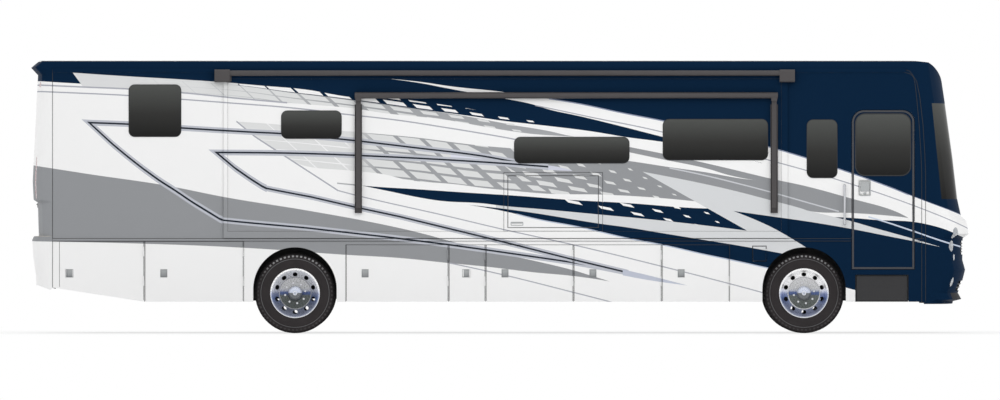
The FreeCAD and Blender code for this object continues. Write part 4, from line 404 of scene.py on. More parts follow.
    # navy nose under the white sweep, with a silver blade and a bright line on it
    nose_top = art.edge((4.09, 1.42), (4.30, 1.41), (4.61, 1.385), (5.03, 1.365), (5.18, 1.34), (5.41, 1.28),
                        (5.67, 1.175), (5.82, 1.125), (6.0, 1.06))
    wedge_low = art.edge((3.80, 1.49), (4.09, 1.42), (4.30, 1.41), (4.61, 1.385), (5.03, 1.365), soft=False)
    blade_top = art.edge((4.09, 1.42), (4.31, 1.365), (4.55, 1.295), (5.03, 1.16), (5.38, 1.055), (5.5, 1.02))
    art.band(WHITE, grey_low, wedge_low, 3.80, 5.0)
    art.lay(WHITE, art.both(art.below(spear_top), art.above(nose_top), art.stretch(4.99, 6.0)))
    art.band(NAVY, nose_top, blade_top, 4.09, 5.40)
    art.lay(NAVY, art.both(art.below(nose_top), art.stretch(5.39, 6.0)))
    art.line("C9D3E4", art.edge((4.42, 1.445), (4.65, 1.38), (5.03, 1.255), (5.41, 1.125), (5.67, 1.05),
                                (5.8, 1.02)), 0.018, 4.5, 6.0)

    # grey tail band
    tail_top = art.edge((-5.76, 2.06), (-5.50, 2.02), (-4.95, 1.935), (-4.13, 1.815), (-3.31, 1.655),
                        (-2.38, 1.505), (-1.43, 1.33), (-0.87, 1.20), (-0.64, 1.135), (-0.17, 1.015),
                        (0.49, 0.87), (0.90, 0.77), (1.08, 0.715), (1.34, 0.635))
    tail_low = art.edge((-5.76, 1.125), (-4.35, 1.095), (-3.12, 1.045), (-1.89, 0.96), (-1.22, 0.92),
                        (-0.64, 0.86), (-0.17, 0.815), (0.42, 0.745), (0.90, 0.70), (1.34, 0.635))
    art.band(GREY, tail_top, tail_low, -6.0, 1.34)


# %% [markdown]
# Hairlines are one edge with a width. A pinstripe folds back on itself like a paper clip: the height above
# its lower run and below its upper run, whichever is less, says how far inside the fold a point is, so one
# number draws the dark core, its silver border and the pointed tip.

# %% Hairlines and folded pinstripes
def fold(art, top, low, bend, end, top_end):
    tree = art.tree
    over = calc(tree, "SUBTRACT", art.z, top)
    steep = calc(tree, "MULTIPLY_ADD", calc(tree, "LESS_THAN", art.metres_x, bend), -0.23, 1.0)
    under = calc(tree, "MULTIPLY", calc(tree, "SUBTRACT", low, art.z), steep)
    outside = calc(tree, "MAXIMUM", over, under)
    upper_run = calc(tree, "GREATER_THAN", over, under)
    spent = calc(tree, "MULTIPLY", upper_run, calc(tree, "GREATER_THAN", art.metres_x, top_end))
    reach = art.both(art.stretch(-6.0, end), calc(tree, "SUBTRACT", 1.0, spent))
    for chip, width in ((PIN_SILVER, 0.070), (PIN_DARK, 0.021)):
        art.lay(chip, art.both(calc(tree, "COMPARE", outside, 0.0, width / 2 / RULER_Z), reach))


def draw_lines(art):
    art.line(HAIRLINE, art.edge((-5.76, 3.04), (-5.11, 3.01), (-4.53, 2.985), (-3.89, 2.94), (-3.14, 2.865),
                                (-2.45, 2.805)), 0.018, -5.8, -2.6)
    art.line(HAIRLINE, art.edge((-5.76, 2.96), (-5.39, 2.945), (-4.53, 2.905), (-3.90, 2.86), (-3.37, 2.82),
                                (-2.45, 2.745), (-1.92, 2.68), (-1.26, 2.605), (-0.70, 2.52), (-0.24, 2.445),
                                (0.18, 2.37), (0.4, 2.32)), 0.016, -5.8, 0.3)
    art.line(HAIRLINE, art.edge((0.43, 2.785), (0.81, 2.705), (1.22, 2.618), (1.63, 2.538), (1.98, 2.460),
                                (2.63, 2.29), (3.27, 2.12), (3.76, 1.985), (4.13, 1.875), (5.03, 1.57),
                                (5.73, 1.285)), 0.014, 0.43, 5.8)
    art.line("C9CBD0", art.edge((2.07, 2.02), (2.50, 1.93), (2.89, 1.835), (3.31, 1.725), (3.75, 1.60),
                                (4.14, 1.49)), 0.016, 2.07, 4.14)
    art.line(HAIRLINE, art.edge((-3.22, 2.59), (-2.99, 2.40), (-2.62, 2.16), (-1.98, 1.745), soft=False),
             0.020, -3.22, -1.98)
    art.line(HAIRLINE, art.edge((-1.98, 1.745), (-1.69, 1.67), (-0.70, 1.445), (0.04, 1.27), (0.88, 1.085),
                                (2.01, 0.81), (2.81, 0.605), (3.20, 0.50)), 0.014, -1.98, 3.4)
    art.line(HAIRLINE, art.edge((-0.62, 0.86), (0.04, 0.715), (0.90, 0.50), (1.33, 0.39)), 0.014, -0.62, 1.4)
    top_one = art.edge((-5.2, 2.585), (-5.02, 2.575), (-4.53, 2.555), (-3.90, 2.51), (-3.06, 2.46),
                       (-2.67, 2.44), (-1.92, 2.37), (-0.97, 2.26), (-0.24, 2.17), (0.18, 2.095),
                       (0.59, 2.025))
    low_one = art.edge((-5.2, 2.74), (-5.017, 2.573), (-4.742, 2.319), (-4.559, 2.167), (-4.377, 2.024),
                       (-4.153, 1.862), (-3.960, 1.740), (-3.767, 1.608), (-3.584, 1.496), (-3.402, 1.384),
                       (-3.06, 1.35), (-2.38, 1.29), (-1.36, 1.175), (-0.64, 1.085), (-0.17, 1.02),
                       (0.42, 0.935), (0.90, 0.865), (1.22, 0.81), (1.57, 0.74), soft=False)
    top_two = art.edge((-3.7, 2.21), (-3.46, 2.21), (-2.51, 2.20), (-1.78, 2.175), (-0.24, 2.095),
                       (0.59, 2.035))
    low_two = art.edge((-3.7, 2.405), (-3.4625, 2.207), (-3.239, 2.020), (-3.056, 1.892), (-2.873, 1.776),
                       (-2.695, 1.740), (-2.30, 1.665), (-1.78, 1.545), (-1.22, 1.425), (-0.17, 1.17),
                       (0.90, 0.90), (1.57, 0.74), soft=False)
    art.band("DADCE8", top_one, top_two, -0.60, 0.59)
    art.band("CDCFDC", art.edge((0.3, 2.062), (0.6, 2.050), (0.88, 1.992)),
             art.edge((0.3, 2.045), (0.6, 1.998), (0.88, 1.985)), 0.3, 0.88)
    fold(art, top_one, low_one, -3.39, 1.57, 0.59)
    fold(art, top_two, low_two, -2.85, 1.57, 0.59)
    art.band("BFC4D2", art.edge((1.1, 0.86), (1.57, 0.765), (2.29, 0.585)),
             art.edge((1.1, 0.81), (1.57, 0.695), (2.29, 0.585)), 1.5, 2.29)


# %% [markdown]
# A body panel is painted on the outside only. Its inner face is bare panel, and so is the roof's deck behind
# the painted edge. The face's own direction tells outside from inside: it points away from the coach's
# middle.

# %% Body paint material
MIDDLE_HEIGHT = 1.8                       # directions are judged from this height on the coach's middle line
DECK_HEIGHT, DECK_HALF = 3.322, 1.04      # the roof's deck: how high it lies, and half its width
SPOILER_REAR, SPOILER_FOOT = -5.56, 3.10  # the rear cap's overhang is painted on both faces
FLOOR_LINE = 1.15                         # bare panels are pale above the floor and dark below it


def make_body_paint():
    made, tree, shader = new_material("body_paint", Roughness=0.32, IOR=1.06, Specular_IOR_Level=0.02)
    art = Livery(tree)
    spray_sides(art)
    draw_lines(art)
    where = add(tree, "ShaderNodeTexCoord").outputs
    here = where["Object"]
    along, across, height = add(tree, "ShaderNodeSeparateXYZ", {0: here}).outputs
    centred = add(tree, "ShaderNodeVectorMath", {0: here, 1: (0.0, 0.0, -MIDDLE_HEIGHT)}, operation="ADD")
    weighed = add(tree, "ShaderNodeVectorMath", {0: centred.outputs[0], 1: (0.035, 0.6, 0.5)},
                  operation="MULTIPLY")
    facing = add(tree, "ShaderNodeVectorMath", {0: weighed.outputs[0], 1: where["Normal"]},
                 operation="DOT_PRODUCT").outputs["Value"]
    high = calc(tree, "GREATER_THAN", height, DECK_HEIGHT)
    inner_part = calc(tree, "COMPARE", across, 0.0, DECK_HALF)
    colour = mix(tree, calc(tree, "MULTIPLY", high, inner_part), art.colour, paint("E9E9E6"))
    inside = calc(tree, "LESS_THAN", facing, -0.02)
    spoiler = calc(tree, "MULTIPLY", calc(tree, "LESS_THAN", along, SPOILER_REAR),
                   calc(tree, "GREATER_THAN", height, SPOILER_FOOT))
    inside = calc(tree, "MULTIPLY", inside, calc(tree, "SUBTRACT", 1.0, spoiler))
    lined = mix(tree, calc(tree, "GREATER_THAN", height, FLOOR_LINE), paint("3A3B3D"), paint("D2CCBF"))
    colour = mix(tree, inside, colour, lined)
    peel = add(tree, "ShaderNodeTexNoise", {"Vector": here, "Scale": 120.0, "Detail": 1.0})
    bump = add(tree, "ShaderNodeBump", {"Height": peel.outputs[0], "Distance": 0.0002, "Strength": 0.6})
    haze = add(tree, "ShaderNodeTexNoise", {"Vector": here, "Scale": 0.9, "Detail": 3.0})
    rough = remap(tree, haze.outputs[0], low=0.27, high=0.37)
    wire(tree, shader, Base_Color=colour, Normal=bump.outputs[0], Roughness=rough)
    print("body paint:", art.shapes, "sprayed shapes,", len(tree.nodes), "nodes")
    return made


finishes = {"body_paint": make_body_paint()}

# %% [markdown]
# ## The other finishes
# Glass on a coach is tinted almost to black. Over that tint a painted reflection and shade run over each
# pane's
# own height: lighter at its head, darker towards the sill, where the room behind it gets no sky. So panes are
# told apart by their place along the side.
# The windshield and the door's window get a glass of their own with hardly any shine.

# %% Glass
# where each pane begins, counted forward, and its sill and head
PANES = (("bedroom window", -4.60, 2.402, 3.038),
         ("bath window", -2.80, 2.379, 2.720),
         ("galley window", -0.80, 2.078, 2.398),
         ("lounge window", 1.85, 2.117, 2.617),
         ("cab side window", 3.60, 1.899, 2.611),
         ("door window", 4.25, 1.935, 2.675),
         ("windshield", 5.15, 1.60, 2.90))


def make_glass(name, clear, shine, reflection_top_chip="575957", shade_low_chip="272727"):
    made, tree, shader = new_material(name, Roughness=0.03, Transmission_Weight=clear, IOR=1.06,
                                      Specular_IOR_Level=shine)
    where = add(tree, "ShaderNodeTexCoord").outputs["Object"]
    split = add(tree, "ShaderNodeSeparateXYZ", {0: where})
    share = None
    for _, rear, sill, head in PANES:
        height = remap(tree, split.outputs[2], sill, head)
        if share is None:
            share = height
        else:
            here = calc(tree, "GREATER_THAN", split.outputs[0], rear)
            share = add(tree, "ShaderNodeMix", {0: here, 2: share, 3: height}).outputs[0]
    # painted reflection and shade: each pane lighter at its head and darker at its sill
    ramp = add(tree, "ShaderNodeValToRGB", {0: share})
    ramp.color_ramp.elements[0].color = paint(shade_low_chip)
    ramp.color_ramp.elements[1].color = paint(reflection_top_chip)
    middle = ramp.color_ramp.elements.new(0.45)
    middle.color = paint("3B3B3A")
    haze = add(tree, "ShaderNodeTexNoise", {"Vector": where, "Scale": 2.5, "Detail": 2.0})
    rough = remap(tree, haze.outputs[0], low=0.02, high=0.06)
    wire(tree, shader, Base_Color=ramp.outputs[0], Roughness=rough)
    return made


finishes["dark_glass"] = make_glass("dark_glass", 0.12, 0.10)
finishes["cab_glass"] = make_glass("cab_glass", 0.06, 0.01)
print("panes with their own gradient:", [pane[0] for pane in PANES])

# %% [markdown]
# Metals, plastics and rubber each need a colour, a grain of the right size and a roughness that wanders. The
# grain is what tells cast iron from a rolled chassis rail or a spun wheel, so its size is given in metres.

# %% Metals
def make_metal(name, chip, low, high, grain, depth, metallic=1.0, specular=0.5):
    made, tree, shader = new_material(name, Metallic=metallic, Specular_IOR_Level=specular)
    here = roughen(tree, shader, grain, depth, low=low, high=high)
    darker = tuple(0.82 * v for v in paint(chip)[:3]) + (1.0,)
    stain = add(tree, "ShaderNodeTexNoise", {"Vector": here, "Scale": 5.0, "Detail": 4.0})
    wire(tree, shader, Base_Color=mix(tree, stain.outputs[0], darker, paint(chip)))
    return made


finishes["awning_metal"] = make_metal("awning_metal", "4A4748", 0.34, 0.46, 0.004, 0.0001, metallic=0.35)
finishes["chassis_steel"] = make_metal("chassis_steel", "2B2B2D", 0.42, 0.62, 0.012, 0.0006, metallic=0.2)
finishes["engine_iron"] = make_metal("engine_iron", "4A4D50", 0.5, 0.7, 0.006, 0.0008, metallic=0.5)
finishes["tank_aluminium"] = make_metal("tank_aluminium", "B4B6B8", 0.32, 0.45, 0.010, 0.0002)
finishes["chrome"] = make_metal("chrome", "D0D2D6", 0.08, 0.14, 0.050, 0.00005)


# %% [markdown]
# A forged wheel is turned on a lathe and polished, so its scratches run round the hub. A wave of rings about
# each axle gives them. The two axles are told apart by their length along the coach. Polish this bright shows
# a white sky above the axle, a blue band level with it and dull ground below; that reflection is painted into
# each zone of the disc as a ramp by height, and the barrel behind the disc is painted dark as shade.

# %% Polished wheels
AXLES = (-2.505, 3.715)
AXLE_HEIGHT = 0.490
MIDWAY = 0.6                            # what lies ahead of this length belongs to the front axle
BARREL_FROM, BARREL_TO = 0.190, 0.262   # radii between which the barrel is seen behind the disc
CONE_REAR, CONE_FRONT = 1.333, -0.778   # how fast each wheel's face moves outwards with the radius
DISC_REAR, DISC_FRONT = 0.952, 1.136    # how far out the two kinds of disc stand
DISC_MARGIN = 0.008


def about_axle(tree, here):
    """Distance from the nearer axle, in metres."""
    split = add(tree, "ShaderNodeSeparateXYZ", {0: here})
    front = calc(tree, "GREATER_THAN", split.outputs[0], MIDWAY)
    centre = calc(tree, "MULTIPLY_ADD", front, AXLES[1] - AXLES[0], AXLES[0])
    dx = calc(tree, "SUBTRACT", split.outputs[0], centre)
    dz = calc(tree, "SUBTRACT", split.outputs[2], AXLE_HEIGHT)
    return calc(tree, "SQRT", calc(tree, "MULTIPLY_ADD", dx, dx, calc(tree, "MULTIPLY", dz, dz))), dx, dz


# zone, its outer radius in metres, and its painted reflection: chips by height over the axle; outermost first
PAINTED_REFLECTION = (("flange", 0.40, ((-0.30, "E2E4E8"), (0.00, "D9DCE4"), (0.05, "F8F8FA"), (0.30, "FAFAFA"))),
          ("rim", 0.293, ((-0.29, "969CB0"), (-0.15, "9299AE"), (-0.06, "7587B4"), (-0.01, "A0ABCB"),
                          (0.03, "E9ECF6"), (0.08, "F8F8FA"), (0.30, "FAFAFA"))),
          ("step ring", 0.199, ((-0.20, "E6E8EA"), (-0.02, "E6E8EA"), (0.04, "E9EAEE"), (0.10, "C9CACC"))),
          ("disc", 0.189, ((-0.19, "4F5553"), (-0.03, "5B605E"), (-0.012, "455681"), (0.010, "485A89"),
                           (0.035, "AFB2BC"), (0.06, "BDBEC0"), (0.19, "C6C6C8"))),
          ("hub groove", 0.090, ((-0.09, "45494A"), (0.0, "45527A"), (0.02, "8A8D93"), (0.09, "8A8D93"))),
          ("hub", 0.085, ((-0.09, "6A6C6E"), (0.0, "6F7276"), (0.008, "CDD4E6"), (0.09, "DADFEC"))),
          ("grease cap ring", 0.026, ((-0.03, "E8EAF0"), (0.03, "E8EAF0"))),
          ("grease cap", 0.017, ((-0.02, "A9AFBE"), (0.02, "C4CADA"))),)


def make_wheel_metal():
    made, tree, shader = new_material("wheel_aluminium", Metallic=0.40)
    here = add(tree, "ShaderNodeTexCoord").outputs["Object"]
    radius, _, drop = about_axle(tree, here)
    rings = calc(tree, "SINE", calc(tree, "MULTIPLY", radius, 2 * math.pi / 0.003))
    fine = add(tree, "ShaderNodeTexNoise", {"Vector": here, "Scale": 60.0, "Detail": 3.0})
    bump = add(tree, "ShaderNodeBump", {"Height": calc(tree, "MULTIPLY_ADD", rings, 0.4, fine.outputs[0]),
                                        "Distance": 0.0001, "Strength": 0.5})
    level = remap(tree, drop, -0.30, 0.30)
    colour = None
    # each zone's ramp is a painted reflection of sky, horizon and ground
    for zone, reach, stops in PAINTED_REFLECTION:
        chips = add(tree, "ShaderNodeValToRGB", {0: level})
        first = True
        for height, chip in stops:
            place = (height + 0.30) / 0.60
            spot = chips.color_ramp.elements[0] if first else chips.color_ramp.elements.new(place)
            spot.position, spot.color = place, paint(chip)
            first = False
        chips.color_ramp.elements.remove(chips.color_ramp.elements[-1])
        inside = calc(tree, "LESS_THAN", radius, reach)
        colour = chips.outputs[0] if colour is None else mix(tree, inside, colour, chips.outputs[0])
    along, across, _ = add(tree, "ShaderNodeSeparateXYZ", {0: here}).outputs
    out = calc(tree, "ABSOLUTE", across)
    front = calc(tree, "GREATER_THAN", along, MIDWAY)
    cone = calc(tree, "MAXIMUM", calc(tree, "SUBTRACT", radius, BARREL_FROM), 0.0)
    slope = calc(tree, "MULTIPLY_ADD", front, CONE_FRONT - CONE_REAR, CONE_REAR)
    disc = calc(tree, "MULTIPLY_ADD", front, DISC_FRONT - DISC_REAR, DISC_REAR - DISC_MARGIN)
    face = calc(tree, "MULTIPLY_ADD", cone, slope, disc)
    # painted shade: the barrel seen behind the disc is coloured dark
    barrel = calc(tree, "MULTIPLY", calc(tree, "LESS_THAN", out, face),
                  calc(tree, "LESS_THAN", radius, BARREL_TO))
    colour = mix(tree, barrel, colour, paint("232427"))
    rough = remap(tree, fine.outputs[0], low=0.22, high=0.34)
    wire(tree, shader, Base_Color=colour, Normal=bump.outputs[0], Roughness=rough)
    return made


finishes["wheel_aluminium"] = make_wheel_metal()

# %% [markdown]
# Rubber is never quite black: dust sits in its grain. Moulded trim has a leather-like pebble, and floor
# boards are planks with a figure that is stretched along their length.

# %% Rubber, plastics, boards and leather
SIDE_RING = 0.4175        # moulded line on a tyre's side wall
BLOCKS = 56               # tread blocks round a tyre


def make_rubber():
    made, tree, shader = new_material("tyre", Specular_IOR_Level=0.22)
    here = roughen(tree, shader, 0.004, 0.0003, detail=4.0, low=0.62, high=0.8)
    dust = add(tree, "ShaderNodeTexNoise", {"Vector": here, "Scale": 6.0, "Detail": 5.0})
    colour = mix(tree, dust.outputs[0], paint("242122"), paint("363233"))
    radius, across, drop = about_axle(tree, here)
    shoulder = remap(tree, radius, 0.455, 0.475)
    colour = mix(tree, shoulder, colour, paint("1B191A"))
    # painted highlight: a lighter grey on the moulded side-wall line
    ring = calc(tree, "COMPARE", radius, SIDE_RING, 0.0035)
    colour = mix(tree, calc(tree, "MULTIPLY", ring, 0.6), colour, paint("77787A"))
    turn = calc(tree, "MULTIPLY", calc(tree, "ARCTAN2", drop, across), BLOCKS / (2 * math.pi))
    tick = calc(tree, "COMPARE", calc(tree, "FRACT", calc(tree, "ADD", turn, BLOCKS)), 0.5, 0.24)
    lands = calc(tree, "COMPARE", radius, 0.4515, 0.0105)
    # painted highlight: the ticks on the lands are lit towards the top of the tyre
    lit = remap(tree, drop, 0.20, 0.42)
    tick_highlight = calc(tree, "MULTIPLY", calc(tree, "MULTIPLY", tick, lands),
                calc(tree, "MULTIPLY_ADD", lit, 0.8, 0.08))
    wire(tree, shader, Base_Color=mix(tree, tick_highlight, colour, paint("A5A5A6")))
    return made


def make_plastic(name, chip, pebble=0.003, low=0.45, high=0.6, specular=0.4):
    made, tree, shader = new_material(name, Specular_IOR_Level=specular)
    here = add(tree, "ShaderNodeTexCoord").outputs["Object"]
    cells = add(tree, "ShaderNodeTexVoronoi", {"Vector": here, "Scale": 1 / pebble})
    bump = add(tree, "ShaderNodeBump", {"Height": cells.outputs["Distance"], "Distance": 0.0003,
                                        "Strength": 0.4})
    cloud = add(tree, "ShaderNodeTexNoise", {"Vector": here, "Scale": 3.0, "Detail": 3.0})
    rough = remap(tree, cloud.outputs[0], low=low, high=high)
    darker = tuple(0.86 * v for v in paint(chip)[:3]) + (1.0,)
    wire(tree, shader, Base_Color=mix(tree, cloud.outputs[0], darker, paint(chip)), Normal=bump.outputs[0],
         Roughness=rough)
    return made


def make_planks():
    made, tree, shader = new_material("floor_board", Specular_IOR_Level=0.35)
    here = add(tree, "ShaderNodeTexCoord").outputs["Object"]
    boards = add(tree, "ShaderNodeTexBrick", {"Vector": here, "Scale": 1.0, "Color1": paint("A98B6B"),
                                              "Color2": paint("8F7355"), "Mortar": paint("4A3A2C"),
                                              "Mortar Size": 0.002, "Brick Width": 1.2, "Row Height": 0.15})
    long_grain = add(tree, "ShaderNodeMapping", {"Vector": here, "Scale": (1.2, 22.0, 22.0)})
    figure = add(tree, "ShaderNodeTexNoise", {"Vector": long_grain.outputs[0], "Scale": 3.0, "Detail": 6.0})
    shade = mix(tree, figure.outputs[0], paint("6E553E"), boards.outputs[0])
    bump = add(tree, "ShaderNodeBump", {"Height": figure.outputs[0], "Distance": 0.0006, "Strength": 0.5})
    rough = remap(tree, figure.outputs[0], low=0.35, high=0.55)
    wire(tree, shader, Base_Color=shade, Normal=bump.outputs[0], Roughness=rough)
    return made


def make_leather():
    made, tree, shader = new_material("seat_leather", Specular_IOR_Level=0.35, Sheen_Weight=0.05)
    here = add(tree, "ShaderNodeTexCoord").outputs["Object"]
    pores = add(tree, "ShaderNodeTexVoronoi", {"Vector": here, "Scale": 260.0}, feature="DISTANCE_TO_EDGE")
    folds = add(tree, "ShaderNodeTexNoise", {"Vector": here, "Scale": 9.0, "Detail": 5.0})
    height = calc(tree, "MULTIPLY_ADD", pores.outputs[0], 0.5, folds.outputs[0])
    bump = add(tree, "ShaderNodeBump", {"Height": height, "Distance": 0.0015, "Strength": 0.5})
    rough = remap(tree, folds.outputs[0], low=0.4, high=0.55)
    wire(tree, shader, Base_Color=mix(tree, folds.outputs[0], paint("6F6257"), paint("8C7C6E")),
         Normal=bump.outputs[0], Roughness=rough)
    return made


finishes["tyre"] = make_rubber()
finishes["black_trim"] = make_plastic("black_trim", "313234")
finishes["cab_trim"] = make_plastic("cab_trim", "5A5650")
finishes["bay_liner"] = make_plastic("bay_liner", "4C4E50", pebble=0.006)
finishes["room_panel"] = make_plastic("room_panel", "C9C2B4", pebble=0.004)
finishes["floor_board"] = make_planks()
finishes["seat_leather"] = make_leather()

# %% [markdown]
# Lamps have a clear or coloured moulded lens with fine vertical flutes.

# %% Lamp lenses
def make_lens(name, chip, clear):
    made, tree, shader = new_material(name, Roughness=0.08, Transmission_Weight=clear, IOR=1.49)
    here = add(tree, "ShaderNodeTexCoord").outputs["Object"]
    split = add(tree, "ShaderNodeSeparateXYZ", {0: here})
    flutes = calc(tree, "SINE", calc(tree, "MULTIPLY", split.outputs[1], 2 * math.pi / 0.012))
    bump = add(tree, "ShaderNodeBump", {"Height": flutes, "Distance": 0.0008, "Strength": 0.5})
    cloud = add(tree, "ShaderNodeTexNoise", {"Vector": here, "Scale": 14.0})
    darker = tuple(0.8 * v for v in paint(chip)[:3]) + (1.0,)
    wire(tree, shader, Base_Color=mix(tree, cloud.outputs[0], darker, paint(chip)), Normal=bump.outputs[0])
    return made


finishes["clear_lens"] = make_lens("clear_lens", "D5DAE0", 0.5)
finishes["red_lens"] = make_lens("red_lens", "9C1F22", 0.2)

# %% [markdown]
# Each piece of the construction takes the finish that its record names. Only the cab's panes differ: they get
# the duller glass, because the large raked windshield would otherwise mirror the whole sky.

# %% Dress the construction
CAB_PANES = ("windshield", "entry_door_window")
for name, piece in nodes.items():
    finish = "cab_glass" if name in CAB_PANES else slot_of[name]
    piece.data.materials.clear()
    piece.data.materials.append(finishes[finish])
print("dressed:", len(nodes), "pieces in", len(set(slot_of.values())), "finishes")

# %% [markdown]
# ## Fittings that repeat
# Rubber seals, trim beads, latches, wheel nuts and tread blocks all repeat or follow a line, which is what
# Geometry Nodes are for. The first tree sweeps a round bead along any line. The second sets copies of a small
# part in a ring. Each result is turned into a plain mesh, one for each moving body.

# %% Tools for node-made pieces
def new_tree(name, *inputs):
    tree = bpy.data.node_groups.new(name, "GeometryNodeTree")
    tree.interface.new_socket("Geometry", in_out="INPUT", socket_type="NodeSocketGeometry")
    for label, kind, value in inputs:
        tree.interface.new_socket(label, in_out="INPUT", socket_type="NodeSocket"
                                  + kind).default_value = value
    tree.interface.new_socket("Geometry", in_out="OUTPUT", socket_type="NodeSocketGeometry")
    return tree, add(tree, "NodeGroupInput").outputs


def close_tree(tree, geometry, finish):
    real = add(tree, "GeometryNodeRealizeInstances", {0: geometry})
    skin = add(tree, "GeometryNodeSetMaterial", {"Geometry": real.outputs[0], "Material": finish})
    add(tree, "NodeGroupOutput", {0: skin.outputs[0]})


def grown(name, points, edges, tree, finish, **inputs):
    """The plain mesh that a tree makes from points and edges, with its inputs set by their labels."""
    seed = bpy.data.meshes.new(name + "_seed")
    seed.from_pydata(points, edges, [])
    holder = bpy.data.objects.new(name + "_seed", seed)
    bpy.context.scene.collection.objects.link(holder)
    modifier = holder.modifiers.new("grow", "NODES")
    modifier.node_group = tree
    for socket in tree.interface.items_tree:
        if socket.in_out == "INPUT" and socket.name in inputs:
            modifier[socket.identifier] = inputs[socket.name]
    evaluated = holder.evaluated_get(bpy.context.evaluated_depsgraph_get())
    mesh = bpy.data.meshes.new_from_object(evaluated)
    bpy.data.objects.remove(holder)
    bpy.data.meshes.remove(seed)
    mesh.name = name
    mesh.materials.clear()
    mesh.materials.append(finish)
    return mesh


def fit(name, meshes, body):
    """One finished piece from one or more meshes, riding on a body."""
    shape = bmesh.new()
    for mesh in meshes:
        shape.from_mesh(mesh)
    joined = bpy.data.meshes.new(name)
    bmesh.ops.recalc_face_normals(shape, faces=shape.faces)
    shape.to_mesh(joined)
    shape.free()
    joined.materials.append(meshes[0].materials[0])
    for mesh in meshes:
        bpy.data.meshes.remove(mesh)
    piece = bpy.data.objects.new(name, joined)
    bpy.context.scene.collection.objects.link(piece)
    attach(piece, body)
    return piece


def loop_edges(count, closed=True):
    return [(i, (i + 1) % count) for i in range(count if closed else count - 1)]


def round_loop(x0, x1, z0, z1, radius, y, steps=6):
    """Corners of a rounded rectangle on a side of the coach."""
    loop = []
    for cx, cz, start in ((x1 - radius, z1 - radius, 0), (x0 + radius, z1 - radius, 90),
                          (x0 + radius, z0 + radius, 180), (x1 - radius, z0 + radius, 270)):
        for step in range(steps + 1):
            turn = math.radians(start + 90 * step / steps)
            loop.append((cx + radius * math.cos(turn), y, cz + radius * math.sin(turn)))
    return loop


trees = {}
tree, given = new_tree("bead", ("Radius", "Float", 0.004), ("Sides", "Int", 8))
path = add(tree, "GeometryNodeMeshToCurve", {"Mesh": given["Geometry"]})
ring = add(tree, "GeometryNodeCurvePrimitiveCircle", {"Resolution": given["Sides"],
                                                      "Radius": given["Radius"]})
swept = add(tree, "GeometryNodeCurveToMesh", {"Curve": path.outputs[0], "Profile Curve": ring.outputs[0],
                                              "Fill Caps": True})
close_tree(tree, swept.outputs[0], None)
trees["bead"] = tree

tree, given = new_tree("ring_of_parts", ("Count", "Int", 10), ("Radius", "Float", 0.2), ("Sides", "Int", 6),
                       ("Size", "Vector", (0.03, 0.03, 0.03)), ("Lay", "Vector", (0.0, 0.0, 0.0)),
                       ("Turn", "Float", 0.0))
circle = add(tree, "GeometryNodeMeshCircle", {"Vertices": given["Count"], "Radius": given["Radius"]})
turn = add(tree, "ShaderNodeCombineXYZ", {2: given["Turn"]})
spun = add(tree, "GeometryNodeTransform", {"Geometry": circle.outputs[0], "Rotation": turn.outputs[0]})
stood = add(tree, "GeometryNodeTransform", {"Geometry": spun.outputs[0], "Rotation": (math.pi / 2, 0.0, 0.0)})
part = add(tree, "GeometryNodeMeshCylinder", {"Vertices": given["Sides"], "Radius": 0.5, "Depth": 1.0})
laid = add(tree, "GeometryNodeTransform", {"Geometry": part.outputs[0], "Rotation": given["Lay"]})
sized = add(tree, "GeometryNodeTransform", {"Geometry": laid.outputs[0], "Scale": given["Size"]})
place = add(tree, "GeometryNodeInputPosition")
aim = add(tree, "FunctionNodeAlignRotationToVector", {"Vector": place.outputs[0]}, axis="Z", pivot_axis="Y")
copies = add(tree, "GeometryNodeInstanceOnPoints", {"Points": stood.outputs[0], "Instance": sized.outputs[0],
                                                    "Rotation": aim.outputs[0]})
close_tree(tree, copies.outputs[0], None)
trees["ring_of_parts"] = tree


def bead(name, lines, radius, finish, closed=True):
    """A bead mesh along each line of points."""
    points, edges = [], []
    for line in lines:
        edges += [(a + len(points), b + len(points)) for a, b in loop_edges(len(line), closed)]
        points += line
    return grown(name, points, edges, trees["bead"], finish, Radius=radius)


def moved(mesh, x, y, z):
    mesh.transform(Matrix.Translation((x, y, z)))
    return mesh


print("trees:", {name: len(tree.nodes) for name, tree in trees.items()})

# %% [markdown]
# ## Seals and trim beads
# Every door on a coach shuts on a rubber seal that shows as a fine dark line in the gap. The luggage doors
# shut on the posts between them, so their seals stay with the coach. The hatch, the flap and the slide-out
# room carry their own seals and take them along.

# %% Seal finish and door seals
COACH_SIDE = 1.280        # from the middle line to the painted side
SEAL = 0.0032             # radius of a seal that stands in a wide gap
POST_SEAL = 0.0028
finishes["seal"] = make_plastic("seal", "3A3B3D", pebble=0.0015, low=0.55, high=0.7, specular=0.2)
finishes["pale_seal"] = make_plastic("pale_seal", "6B6E72", pebble=0.0015, low=0.55, high=0.7, specular=0.2)

bay_names = [name for name in nodes if "_bay_door_" in name]
RIGHT_POSTS = (-4.344, -3.130, -1.885, -0.628, -0.176, 0.898, 1.976, 2.806)
LEFT_POSTS = (-1.885, -0.628, 0.898, 1.976, 2.806)
SKIRT_FOOT, DOOR_HEAD, BELT_FOOT = 0.389, 1.0815, 1.124
post_lines = []
for posts, face in ((RIGHT_POSTS, -COACH_SIDE), (LEFT_POSTS, COACH_SIDE)):
    for x in posts:
        post_lines.append([(x, face, SKIRT_FOOT), (x, face, DOOR_HEAD if x > -2.0 else BELT_FOOT)])
    post_lines.append([(-1.885, face, DOOR_HEAD), (2.806, face, DOOR_HEAD)])
fit("door_post_seals", [bead("door_post_seals", post_lines, POST_SEAL, finishes["seal"], closed=False)],
    "coach")
print("luggage door seals:", len(post_lines), "lines for", len(bay_names), "doors")

# %% Hatch, flap and slide-out seals
def plain_loop(x0, x1, z0, z1, y):
    return [(x0, y, z0), (x1, y, z0), (x1, y, z1), (x0, y, z1)]


